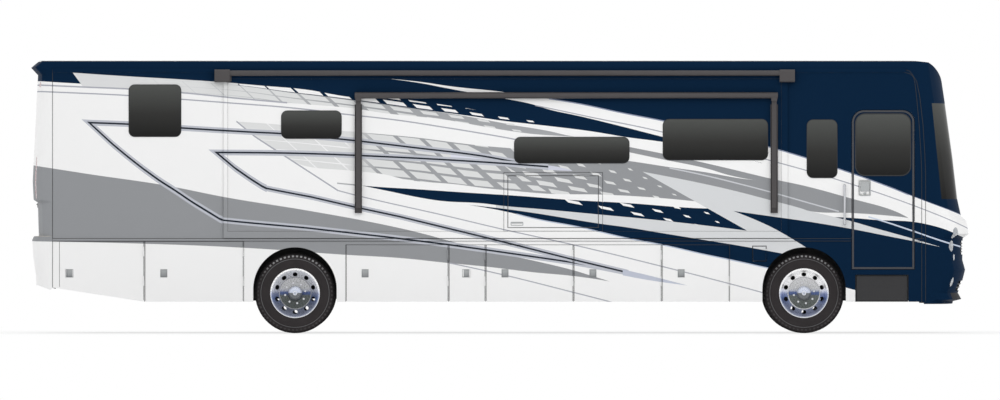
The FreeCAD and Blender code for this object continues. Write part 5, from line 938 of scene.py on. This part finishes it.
low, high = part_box("tv_hatch")
HATCH_HEAD, HATCH_SEAL, SEAL_INSET = 1.926, 0.0026, 0.003
frame_line = plain_loop(0.047, 1.253, 1.249, 1.964, -1.3045)
hatch_line = plain_loop(low.x + SEAL_INSET, high.x - SEAL_INSET, low.z + SEAL_INSET, HATCH_HEAD - SEAL_INSET,
                        -1.3042)
fit("tv_hatch_seal", [bead("tv_hatch_seal", [hatch_line], HATCH_SEAL, finishes["pale_seal"])], "tv_hatch")
inner_line = plain_loop(-3.327, 3.437, 1.245, 3.110, -1.2985)
fit("slide_room_seals", [bead("slide_room_seals", [frame_line, inner_line], SEAL, finishes["seal"])],
    "slide_room")
flap_line = plain_loop(3.089, 3.249, 0.885, 1.063, -COACH_SIDE)
fit("fuel_flap_seal", [bead("fuel_flap_seal", [flap_line], SEAL, finishes["seal"])], "fuel_flap")
print("slide-out, hatch and flap sealed")

# %% [markdown]
# The side walls meet the two moulded end caps at upright joints, and an aluminium rub rail runs the whole
# length at floor height. Both show as fine dark beads that stay with the coach.

# %% Joints and rub rail
CAP_JOINT_REAR = [(5.152, 0.389), (5.152, 1.95), (5.142, 2.20), (5.120, 2.55), (5.088, 2.90), (5.066, 3.08),
                  (5.045, 3.155), (5.000, 3.205), (4.930, 3.226), (3.640, 3.229)]
CAP_JOINT_FRONT = [(5.199, 0.389), (5.199, 1.95), (5.189, 2.20), (5.167, 2.55), (5.126, 2.90), (5.089, 3.08),
                   (5.060, 3.125), (5.011, 3.170), (4.937, 3.190), (3.640, 3.193)]
WALL_END, SKIRT_END = -5.466, 0.562     # where a side wall ends at the rear cap, and how low that joint runs
RAIL_LINES = (1.157, 1.128)             # upper and lower edge of the rub rail
RAIL_STAND_OFF = 1.0045                 # the rail stands a few millimetres proud of the wall


def side_beads(y):
    """Beads along one side: rub rail, the joint at the rear cap and the double joint at the front cap."""
    runs = [(WALL_END, 4.285)] + ([(5.075, 5.178)] if y < 0 else [])
    rail = [[(x, y * RAIL_STAND_OFF, z) for x in run] for run in runs for z in RAIL_LINES]
    rear = [(WALL_END, y, SKIRT_END), (WALL_END, y, 3.226)]
    return rail + [rear] + [[(x, y, z) for x, z in line] for line in (CAP_JOINT_REAR, CAP_JOINT_FRONT)]


beads = bead("coach_beads", side_beads(-COACH_SIDE) + side_beads(COACH_SIDE), SEAL, finishes["seal"],
             closed=False)
fit("coach_beads", [beads], "coach")

# %% [markdown]
# The entry door is framed by a wide flat gasket. A flat strip is made from two rounded outlines, one inside
# the other, with a bevel so that its edge catches the light.

# %% Entry door gasket and window surrounds
GASKET_BACK = -1.2798     # a hair behind the painted side


def arched_loop(x0, x1, z0, z1, radius, y, steps=8):
    """Corners of a doorway outline on a side of the coach: round above, square at the foot."""
    loop = [(x0, y, z0), (x1, y, z0)]
    for cx, start in ((x1 - radius, 0), (x0 + radius, 90)):
        for step in range(steps + 1):
            turn = math.radians(start + 90 * step / steps)
            loop.append((cx + radius * math.cos(turn), y, z1 - radius + radius * math.sin(turn)))
    return loop


def flat_ring(name, outer, inner, y, proud, finish):
    """A flat strip between two outlines with the same number of corners, on the side at y."""
    shape = bmesh.new()
    count = len(outer)
    out = -1.0 if y < 0 else 1.0
    levels = []
    for depth in (0.0, out * proud):
        levels.append([[shape.verts.new((x, y + depth, z)) for x, _, z in line] for line in (outer, inner)])
    for i in range(count):
        j = (i + 1) % count
        for a, b in ((levels[1][0], levels[1][1]), (levels[0][0], levels[1][0]), (levels[1][1], levels[0][1]),
                     (levels[0][1], levels[0][0])):
            shape.faces.new((a[i], a[j], b[j], b[i]))
    bmesh.ops.recalc_face_normals(shape, faces=shape.faces)
    edges = [e for e in shape.edges if all(v in levels[1][0] or v in levels[1][1] for v in e.verts)
             and e.calc_face_angle(0.0) > 0.5]
    bmesh.ops.bevel(shape, geom=edges, offset=proud * 0.4, segments=2, affect="EDGES")
    mesh = bpy.data.meshes.new(name)
    shape.to_mesh(mesh)
    shape.free()
    mesh.materials.append(finish)
    return mesh


finishes["gasket"] = make_plastic("gasket", "45464A", pebble=0.0015, low=0.5, high=0.65, specular=0.25)
outer = arched_loop(4.300, 5.061, 0.785, 2.725, 0.145, -COACH_SIDE)
inner = arched_loop(4.324, 5.037, 0.809, 2.701, 0.121, -COACH_SIDE)
fit("entry_door_gasket", [flat_ring("entry_door_gasket", outer, inner, GASKET_BACK, 0.0035,
                                    finishes["gasket"])], "entry_door")
outer = round_loop(4.336, 5.024, 1.921, 2.689, 0.124, -COACH_SIDE)
inner = round_loop(4.352, 5.008, 1.937, 2.673, 0.108, -COACH_SIDE)
fit("door_window_gasket", [flat_ring("door_window_gasket", outer, inner, GASKET_BACK, 0.006,
                                     finishes["seal"])], "entry_door")
ROOM_SIDE = 1.298         # from the middle line to the slide-out room's outer wall
# rear and front end, sill, head, corner radius and side of each pane
WINDOWS = {"coach": ((-4.534, -3.896, 2.402, 3.038, 0.070, -COACH_SIDE),
                     (3.749, 4.120, 1.899, 2.611, 0.075, -COACH_SIDE),
                     (-4.534, -3.896, 2.402, 3.038, 0.070, COACH_SIDE),
                     (-2.672, -1.936, 2.379, 2.720, 0.075, COACH_SIDE),
                     (-0.700, 0.705, 2.078, 2.398, 0.075, COACH_SIDE),
                     (1.990, 3.272, 2.117, 2.617, 0.075, COACH_SIDE),
                     (3.900, 4.950, 1.899, 2.687, 0.110, COACH_SIDE)),
           "slide_room": ((-2.672, -1.936, 2.379, 2.720, 0.075, -ROOM_SIDE),
                          (0.174, 1.579, 2.078, 2.398, 0.075, -ROOM_SIDE),
                          (1.990, 3.272, 2.117, 2.617, 0.075, -ROOM_SIDE))}
for body, panes in WINDOWS.items():
    rings = []
    for x0, x1, z0, z1, r, y in panes:
        outer = round_loop(x0 - 0.003, x1 + 0.003, z0 - 0.003, z1 + 0.003, r + 0.003, y)
        inner = round_loop(x0 + 0.008, x1 - 0.008, z0 + 0.008, z1 - 0.008, r - 0.008, y)
        rings.append(flat_ring("ring", outer, inner, y, 0.0085, finishes["seal"]))
    fit(body + "_window_gaskets", rings, body)
print("window gaskets:", sum(len(panes) for panes in WINDOWS.values()) + 1)

# %% [markdown]
# ## Luggage door latches
# Each luggage door opens with a square paddle in a shallow pocket. The paddle's face slopes, and the latch's
# colour is painted darker below and lighter above as shade and highlight. A small tree sets the same latch at
# each point that it is given.

# %% Latches
def latch_shape():
    """A pan with a sloping paddle, in a unit frame: 1 wide, 1 tall, outward along -Y."""
    shape = bmesh.new()

    def block(corners_low, corners_high):
        low_ring = [shape.verts.new(c) for c in corners_low]
        high_ring = [shape.verts.new(c) for c in corners_high]
        shape.faces.new(low_ring[::-1])
        shape.faces.new(high_ring)
        for i in range(4):
            shape.faces.new((low_ring[i], low_ring[(i + 1) % 4], high_ring[(i + 1) % 4], high_ring[i]))

    h = 0.5
    block([(-h, 0.0, -h), (h, 0.0, -h), (h, 0.0, h), (-h, 0.0, h)],
          [(-h, -0.02, -h), (h, -0.02, -h), (h, -0.02, h), (-h, -0.02, h)])
    for x0, x1, z0, z1 in ((-h, h, 0.42, h), (-h, h, -h, -0.42), (-h, -0.42, -0.42, 0.42),
                           (0.42, h, -0.42, 0.42)):
        block([(x0, -0.02, z0), (x1, -0.02, z0), (x1, -0.02, z1), (x0, -0.02, z1)],
              [(x0, -0.13, z0), (x1, -0.13, z0), (x1, -0.13, z1), (x0, -0.13, z1)])
    block([(-0.36, -0.02, -0.36), (0.36, -0.02, -0.36), (0.36, -0.02, 0.36), (-0.36, -0.02, 0.36)],
          [(-0.36, -0.10, -0.36), (0.36, -0.05, -0.36), (0.36, -0.12, 0.36), (-0.36, -0.05, 0.36)])
    bmesh.ops.recalc_face_normals(shape, faces=shape.faces)
    mesh = bpy.data.meshes.new("latch_pattern")
    shape.to_mesh(mesh)
    shape.free()
    return bpy.data.objects.new("latch_pattern", mesh)


def make_latch_metal():
    made, tree, shader = new_material("latch_metal", Metallic=0.4, Roughness=0.35)
    here = add(tree, "ShaderNodeTexCoord").outputs["Object"]
    split = add(tree, "ShaderNodeSeparateXYZ", {0: here})
    brushed = add(tree, "ShaderNodeMapping", {"Vector": here, "Scale": (40.0, 40.0, 900.0)})
    lines = add(tree, "ShaderNodeTexNoise", {"Vector": brushed.outputs[0], "Scale": 1.0, "Detail": 2.0})
    # painted shade and highlight: darker at the latch's foot, lighter at its head
    slope = remap(tree, split.outputs[2], 0.69, 0.78)
    shade = mix(tree, slope, paint("8F9294"), paint("B9BCBD"))
    tree.links.new(mix(tree, calc(tree, "MULTIPLY", lines.outputs[0], 0.4), shade, paint("6E7173")),
                   shader.inputs["Base Color"])
    bump = add(tree, "ShaderNodeBump", {"Height": lines.outputs[0], "Distance": 0.0001, "Strength": 0.4})
    wire(tree, shader, Normal=bump.outputs[0])
    return made


finishes["latch_metal"] = make_latch_metal()
tree, given = new_tree("latches", ("Width", "Float", 0.084), ("Height", "Float", 0.100),
                       ("Facing", "Float", 1.0))
pattern = latch_shape()
bpy.context.scene.collection.objects.link(pattern)
source = add(tree, "GeometryNodeObjectInfo", {"Object": pattern})
scale = add(tree, "ShaderNodeCombineXYZ", {0: given["Width"], 1: given["Facing"], 2: given["Height"]})
sized = add(tree, "GeometryNodeTransform", {"Geometry": source.outputs["Geometry"],
                                            "Scale": scale.outputs[0]})
dots = add(tree, "GeometryNodeMeshToPoints", {"Mesh": given["Geometry"]})
copies = add(tree, "GeometryNodeInstanceOnPoints", {"Points": dots.outputs[0], "Instance": sized.outputs[0]})
close_tree(tree, copies.outputs[0], finishes["latch_metal"])
LATCH_HEIGHT, LATCH_DEPTH = 0.734, 0.012
FROM_REAR_EDGE, FROM_TAIL_EDGE = 0.225, 0.1245    # how far along the door the latch sits, and on the rearmost
DOOR_TAIL = -5.0                                  # only the rearmost door reaches behind this length
for name in bay_names:
    low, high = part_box(name)
    narrow_middle = (high.x - low.x - 0.046) / 2
    inset = FROM_TAIL_EDGE if low.x < DOOR_TAIL else min(FROM_REAR_EDGE, narrow_middle)
    side = -1.0 if low.y < 0 else 1.0
    spot = (low.x + inset, side * (COACH_SIDE - LATCH_DEPTH), LATCH_HEIGHT)
    mesh = grown(name + "_latch", [spot], [], tree, finishes["latch_metal"], Facing=-side * 0.1)
    fit(name + "_latch", [mesh], body_of[name])
bpy.data.objects.remove(pattern)
print("latches:", len(bay_names))

# %% [markdown]
# ## Wheels and tyres
# Each wheel is held by eight nuts in a ring, and a ray cast from outside finds the disc that they stand on.
# The tyre gets a moulded side wall and a tread of five rows of blocks. Its body is one profile spun round the
# axle; the blocks are a ring of small parts for each row.

# %% Where a surface is
surfaces = {}


def depth_at(name, x, z, side):
    """How far out the outer face of a piece is, at one place on that side."""
    if name not in surfaces:
        mesh = nodes[name].data
        surfaces[name] = BVHTree.FromPolygons([v.co for v in mesh.vertices],
                                              [p.vertices for p in mesh.polygons])
    hit = surfaces[name].ray_cast(Vector((x, side * 2.0, z)), Vector((0.0, -side, 0.0)))
    return hit[0].y if hit[0] else side * 1.2


# %% Wheel nuts
NUT_CIRCLE, NUT_SIZE, NUTS, NUT_PHASE = 0.125, 0.027, 8, math.radians(11.0)
WHEELS = (("front_right_wheel", AXLES[1], -1.0), ("front_left_wheel", AXLES[1], 1.0),
          ("rear_right_wheels", AXLES[0], -1.0), ("rear_left_wheels", AXLES[0], 1.0))
for name, x, side in WHEELS:
    y = depth_at(name, x + NUT_CIRCLE, AXLE_HEIGHT, side)
    nuts = grown(name + "_nuts", [(0, 0, 0)], [], trees["ring_of_parts"], finishes["chrome"], Count=NUTS,
                 Radius=NUT_CIRCLE, Sides=6, Size=(NUT_SIZE, 0.030, NUT_SIZE), Lay=(math.pi / 2, 0.0, 0.0),
                 Turn=NUT_PHASE)
    caps = grown(name + "_caps", [(0, 0, 0)], [], trees["ring_of_parts"], finishes["chrome"], Count=NUTS,
                 Radius=NUT_CIRCLE, Sides=12, Size=(0.015, 0.040, 0.015), Lay=(math.pi / 2, 0.0, 0.0),
                 Turn=NUT_PHASE)
    pieces = [moved(mesh, x, y + side * 0.012, AXLE_HEIGHT) for mesh in (nuts, caps)]
    fit(name + "_nuts", pieces, body_of[name])
    print(name, "nuts stand on y =", round(y, 4))

# %% Tyres with tread
TYRE_PROFILE = ((0.0800, 0.2935), (0.0967, 0.2935), (0.1010, 0.3035), (0.1110, 0.3130), (0.1180, 0.3300),
                (0.1235, 0.3560), (0.1260, 0.3760), (0.1262, 0.3900), (0.1274, 0.3960), (0.1274, 0.4040),
                (0.1258, 0.4100), (0.1238, 0.4230), (0.1190, 0.4400), (0.1130, 0.4560), (0.1060, 0.4700),
                (0.0990, 0.4760), (0.0500, 0.4790), (0.0, 0.4800))
RIB_ROWS = (-0.082, -0.041, 0.0, 0.041, 0.082)


def spun_tyre(name, offset):
    """One tyre body about the Y axis, its middle at the offset along the axle."""
    ring = list(TYRE_PROFILE) + [(-y, r) for y, r in reversed(TYRE_PROFILE[:-1])]
    shape = bmesh.new()
    steps = 96
    loops = []
    for step in range(steps):
        turn = 2 * math.pi * step / steps
        loops.append([shape.verts.new((r * math.cos(turn), offset + y, r * math.sin(turn))) for y, r in ring])
    for step in range(steps):
        here, there = loops[step], loops[(step + 1) % steps]
        for i in range(len(ring)):
            j = (i + 1) % len(ring)
            shape.faces.new((here[i], here[j], there[j], there[i]))
    for face in shape.faces:
        face.smooth = True
    mesh = bpy.data.meshes.new(name)
    shape.to_mesh(mesh)
    shape.free()
    mesh.materials.append(finishes["tyre"])
    return mesh


def tread(name, offset):
    """The tread's rows of blocks; each row is turned by half a block against the one beside it."""
    rows = []
    for row, y in enumerate(RIB_ROWS):
        radius, size = (0.4750, (0.058, 0.062, 0.020)) if row in (0, 4) else (0.4805, (0.058, 0.048, 0.0165))
        mesh = grown(name, [(0, 0, 0)], [], trees["ring_of_parts"], finishes["tyre"], Count=BLOCKS,
                     Radius=radius, Sides=4, Size=size, Lay=(0.0, 0.0, math.pi / 4),
                     Turn=math.pi * row / BLOCKS)
        rows.append(moved(mesh, 0.0, offset + y, 0.0))
    return rows


def shoulder_ticks(name, offset):
    """Short radial grooves' lands on the side wall, below the shoulder blocks."""
    ticks = []
    for side in (-1.0, 1.0):
        mesh = grown(name, [(0, 0, 0)], [], trees["ring_of_parts"], finishes["tyre"], Count=BLOCKS,
                     Radius=0.4500, Sides=4, Size=(0.020, 0.020, 0.040), Lay=(0.0, 0.0, math.pi / 4),
                     Turn=0.0)
        ticks.append(moved(mesh, 0.0, offset + side * 0.1105, 0.0))
    return ticks


TYRES = (("front_right_tyre", AXLES[1], (-1.040,)), ("front_left_tyre", AXLES[1], (1.040,)),
         ("rear_right_tyres", AXLES[0], (-1.088, -0.788)), ("rear_left_tyres", AXLES[0], (1.088, 0.788)))
for name, x, places in TYRES:
    meshes = []
    for y in places:
        for mesh in [spun_tyre(name, y)] + tread(name, y) + shoulder_ticks(name, y):
            meshes.append(moved(mesh, x, 0.0, AXLE_HEIGHT))
    tyre = fit(name + "_treaded", meshes, body_of[name])
    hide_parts(name)
    print(name, len(tyre.data.polygons), "faces")

# %% [markdown]
# ## Cab seats
# A captain's seat is foam in a sewn leather cover. Air pressure inside a cloth shell swells it as foam does:
# the faces crown, the sides pull in between their corners, and it stays flat on its base. Each shell starts a
# little small, and no point may move further than a cap, so the pads fill the room that the construction
# keeps for them. The channels are sewn in afterwards.

# %% Seat pads
SEATS = ((4.330, 0.600), (4.330, -0.330))
CUSHION_HALF, BACK_HALF, PAD_INSET, PAD_CAP = 0.250, 0.240, 0.013, 0.024
# height, rear and front from the seat's place
CUSHION_LEVELS = ((1.560, 0.060, 0.560), (1.680, 0.060, 0.560))
BACK_LEVELS = ((1.681, 0.070, 0.200), (2.450, -0.050, 0.060))
VOXEL = 0.010


def pad_shell(shape, x, y, half, levels, radius):
    corners = []
    for end, (z, rear, front) in enumerate(levels):
        z += PAD_INSET * (1 - 2 * end) * (end or levels is BACK_LEVELS)
        for side in (-1.0, 1.0):
            for at, inward in ((rear, PAD_INSET), (front, -PAD_INSET)):
                corners.append(shape.verts.new((x + at + inward, y + side * (half - PAD_INSET), z)))
    a = corners
    sides = [shape.faces.new([a[i] for i in face]) for face in
             ((0, 1, 3, 2), (4, 6, 7, 5), (0, 4, 5, 1), (2, 3, 7, 6), (0, 2, 6, 4), (1, 5, 7, 3))]
    edges = {edge for face in sides for edge in face.edges}
    bmesh.ops.bevel(shape, geom=list(edges), offset=radius, segments=3, affect="EDGES")


def room_for(point, at):
    """A point of a pad, kept inside the room of its own seat."""
    x, y = at
    levels, half = (CUSHION_LEVELS, CUSHION_HALF) if point.z < 1.6805 else (BACK_LEVELS, BACK_HALF)
    (z0, rear0, front0), (z1, rear1, front1) = levels
    share = (point.z - z0) / (z1 - z0)
    rear, front = rear0 + share * (rear1 - rear0), front0 + share * (front1 - front0)
    return Vector((min(max(point.x, x + rear), x + front), min(max(point.y, y - half), y + half),
                   min(max(point.z, z0), z1)))


def swollen(start):
    """The mesh of a pad after its cloth shell has been blown up."""
    holder = bpy.data.objects.new("pad_cover", start.copy())
    bpy.context.scene.collection.objects.link(holder)
    cloth = holder.modifiers.new("foam", "CLOTH")
    cloth.settings.use_pressure = True
    cloth.settings.uniform_pressure_force = 4.0
    cloth.settings.effector_weights.gravity = 0.0
    cloth.settings.quality = 4
    cloth.settings.mass = 0.3
    for frame_number in range(1, 21):
        bpy.context.scene.frame_set(frame_number)
    evaluated = holder.evaluated_get(bpy.context.evaluated_depsgraph_get())
    result = bpy.data.meshes.new_from_object(evaluated)
    bpy.data.objects.remove(holder)
    bpy.context.scene.frame_set(1)
    return result


def channel_depth(point, at):
    """How far a sewn channel draws the cover in at a point of one seat."""
    across = min(abs(point.y - at[1] - 0.105), abs(point.y - at[1] + 0.105))
    depth = math.exp(-(across / 0.009) ** 2)
    if point.z > 1.69:
        over = min(abs(point.z - 1.95), abs(point.z - 2.22))
        depth = max(depth, math.exp(-(over / 0.009) ** 2))
    return 0.007 * depth


def seat_pads():
    shape = bmesh.new()
    for x, y in SEATS:
        pad_shell(shape, x, y, CUSHION_HALF, CUSHION_LEVELS, 0.030)
        pad_shell(shape, x, y, BACK_HALF, BACK_LEVELS, 0.030)
    bmesh.ops.recalc_face_normals(shape, faces=shape.faces)
    blank = bpy.data.meshes.new("pad_blank")
    shape.to_mesh(blank)
    shape.free()
    holder = bpy.data.objects.new("pad_blank", blank)
    bpy.context.scene.collection.objects.link(holder)
    remesh = holder.modifiers.new("voxels", "REMESH")
    remesh.mode, remesh.voxel_size = "VOXEL", VOXEL
    even = bpy.data.meshes.new_from_object(holder.evaluated_get(bpy.context.evaluated_depsgraph_get()))
    bpy.data.objects.remove(holder)
    pads = swollen(even)
    moves = []
    for vertex, first in zip(pads.vertices, even.vertices):
        at = SEATS[0] if first.co.y > 0.13 else SEATS[1]
        move = vertex.co - first.co
        if move.length > PAD_CAP:
            move *= PAD_CAP / move.length
        moves.append(move.length)
        point = room_for(first.co + move, at)
        vertex.co = point - first.normal * channel_depth(point, at)
        vertex.co = room_for(vertex.co, at)
    print("seat pads:", len(pads.vertices), "points, swollen by up to", round(1000 * max(moves), 1), "mm")
    holder = bpy.data.objects.new("cab_seat_pads", pads)
    bpy.context.scene.collection.objects.link(holder)
    smoother = holder.modifiers.new("finer", "SUBSURF")
    smoother.levels = smoother.render_levels = 1
    finer = bpy.data.meshes.new_from_object(holder.evaluated_get(bpy.context.evaluated_depsgraph_get()))
    bpy.data.objects.remove(holder)
    finer.materials.clear()
    finer.materials.append(finishes["seat_leather"])
    finer.shade_smooth()
    return finer


cab_seats = fit("cab_seat_pads", [seat_pads()], "coach")
cab_seats.data.shade_smooth()
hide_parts("cab_seats")
print("cab seats:", len(cab_seats.data.polygons), "faces")

# %% [markdown]
# ## Small fittings
# The hatch needs a pull and the entry door a lock plate with a paddle and a key cylinder. Each is a flat ring
# with small blocks in it, whose edges are rounded by bevelling.

# %% Rounded blocks
def soft_block(name, x0, x1, y0, y1, z0, z1, radius, finish, segments=3):
    shape = bmesh.new()
    bmesh.ops.create_cube(shape, size=1.0)
    bmesh.ops.scale(shape, vec=(x1 - x0, y1 - y0, z1 - z0), verts=shape.verts)
    bmesh.ops.translate(shape, vec=((x0 + x1) / 2, (y0 + y1) / 2, (z0 + z1) / 2), verts=shape.verts)
    bmesh.ops.bevel(shape, geom=list(shape.edges), offset=radius, segments=segments, affect="EDGES")
    mesh = bpy.data.meshes.new(name)
    shape.to_mesh(mesh)
    shape.free()
    mesh.materials.append(finish)
    return mesh


plate = flat_ring("door_lock", round_loop(4.386, 4.530, 1.678, 1.866, 0.018, -COACH_SIDE),
                  round_loop(4.398, 4.518, 1.690, 1.854, 0.010, -COACH_SIDE), GASKET_BACK, 0.006,
                  finishes["latch_metal"])
paddle = soft_block("door_lock", 4.404, 4.512, -1.2890, -1.2795, 1.735, 1.848, 0.003, finishes["latch_metal"])
cylinder = soft_block("door_lock", 4.440, 4.476, -1.2880, -1.2795, 1.698, 1.722, 0.004,
                      finishes["latch_metal"])
fit("entry_door_lock", [plate, paddle, cylinder], "entry_door")
pull = flat_ring("hatch_pull", round_loop(0.130, 0.284, 1.316, 1.362, 0.010, -1.304),
                 round_loop(0.138, 0.276, 1.324, 1.354, 0.006, -1.304), -1.3038, 0.004,
                 finishes["latch_metal"])
lip = soft_block("hatch_pull", 0.140, 0.274, -1.3100, -1.3038, 1.342, 1.353, 0.002, finishes["latch_metal"])
fit("tv_hatch_pull", [pull, lip], "tv_hatch")
print("lock plate and hatch pull fitted")

# %% [markdown]
# ## The studio
# A pale floor, a white surround, and soft light from both sides and above, level enough that a chip renders
# as it is written. The camera stands far off with a long lens, so that the side is seen almost without
# perspective.

# %% Floor and surround
def make_floor():
    half, level = 45.0, -0.001
    mesh = bpy.data.meshes.new("studio_floor")
    corners = [(-half, -half, level), (half, -half, level), (half, half, level), (-half, half, level)]
    mesh.from_pydata(corners, [], [(0, 1, 2, 3)])
    floor = bpy.data.objects.new("studio_floor", mesh)
    bpy.context.scene.collection.objects.link(floor)
    made, tree, shader = new_material("studio_floor", Specular_IOR_Level=0.0, Roughness=0.9)
    shader.inputs["Base Color"].default_value = paint("F4F4F4")
    grain = add(tree, "ShaderNodeTexNoise", {"Scale": 40.0})
    bump = add(tree, "ShaderNodeBump", {"Height": grain.outputs[0], "Distance": 0.0005, "Strength": 0.2})
    wire(tree, shader, Normal=bump.outputs[0])
    path = add(tree, "ShaderNodeLightPath")
    seen = calc(tree, "MAXIMUM", path.outputs["Is Camera Ray"], path.outputs["Is Glossy Ray"])
    seen = calc(tree, "MAXIMUM", seen, path.outputs["Is Transmission Ray"])
    here = add(tree, "ShaderNodeTexCoord").outputs["Object"]
    split = add(tree, "ShaderNodeSeparateXYZ", {0: here})
    beside = calc(tree, "SUBTRACT", calc(tree, "ABSOLUTE", split.outputs[1]), 1.3)
    before = calc(tree, "SUBTRACT", calc(tree, "ABSOLUTE", split.outputs[0]), 5.7)
    away = calc(tree, "MAXIMUM", beside, before)
    share = remap(tree, away, end=3.5, low=0.72, high=1.0)
    white = add(tree, "ShaderNodeEmission", {"Color": (1.0, 1.0, 1.0, 1.0), "Strength": 1.0})
    blend = add(tree, "ShaderNodeMixShader", {0: calc(tree, "MULTIPLY", seen, share), 1: shader.outputs[0],
                                              2: white.outputs[0]})
    tree.links.new(blend.outputs[0], tree.nodes["Material Output"].inputs["Surface"])
    mesh.materials.append(made)


def make_surround(level):
    world = bpy.data.worlds.new("surround")
    bpy.context.scene.world = world
    world.use_nodes = True
    tree = world.node_tree
    background = tree.nodes["Background"]
    background.inputs["Color"].default_value = (1.0, 1.0, 1.0, 1.0)
    path = add(tree, "ShaderNodeLightPath")
    seen = calc(tree, "MAXIMUM", path.outputs["Is Camera Ray"], path.outputs["Is Glossy Ray"])
    seen = calc(tree, "MAXIMUM", seen, path.outputs["Is Transmission Ray"])
    tree.links.new(calc(tree, "MULTIPLY_ADD", seen, 1.0 - level, level), background.inputs["Strength"])


def softbox(name, place, look_at, size, power):
    lamp = bpy.data.lights.new(name, "AREA")
    lamp.shape = "RECTANGLE"
    lamp.size, lamp.size_y = size
    lamp.energy = power
    holder = bpy.data.objects.new(name, lamp)
    bpy.context.scene.collection.objects.link(holder)
    holder.location = place
    holder.rotation_euler = (Vector(look_at) - Vector(place)).to_track_quat("-Z", "Y").to_euler()
    holder.visible_glossy = False
    holder.visible_camera = False


make_floor()
make_surround(0.72)
softbox("right_softbox", (2.0, -13.0, 9.0), (0.0, 0.0, 1.4), (16.0, 8.0), 640.0)
softbox("left_softbox", (-2.0, 13.0, 9.0), (0.0, 0.0, 1.4), (16.0, 8.0), 600.0)
softbox("front_softbox", (15.0, 0.0, 7.0), (4.0, 0.0, 1.4), (8.0, 6.0), 220.0)
softbox("rear_softbox", (-15.0, 0.0, 7.0), (-4.0, 0.0, 1.4), (8.0, 6.0), 220.0)
scene = bpy.context.scene
scene.view_settings.view_transform = "Standard"

# %% Camera
FIELD = 12.216            # metres across the frame at the coach's side
SIGHT_LINE = 1.629
LENS = 660.0


def make_camera():
    data = bpy.data.cameras.new("side_camera")
    data.lens = LENS
    data.sensor_width = 36.0
    away = FIELD * LENS / data.sensor_width
    data.clip_start, data.clip_end = 1.0, away + 120.0
    camera = bpy.data.objects.new("side_camera", data)
    scene.collection.objects.link(camera)
    camera.location = (0.0, -COACH_SIDE - away, SIGHT_LINE)
    camera.rotation_euler = (math.radians(90.0), 0.0, 0.0)
    scene.camera = camera
    print("camera stands", round(away, 1), "m from the side")


make_camera()
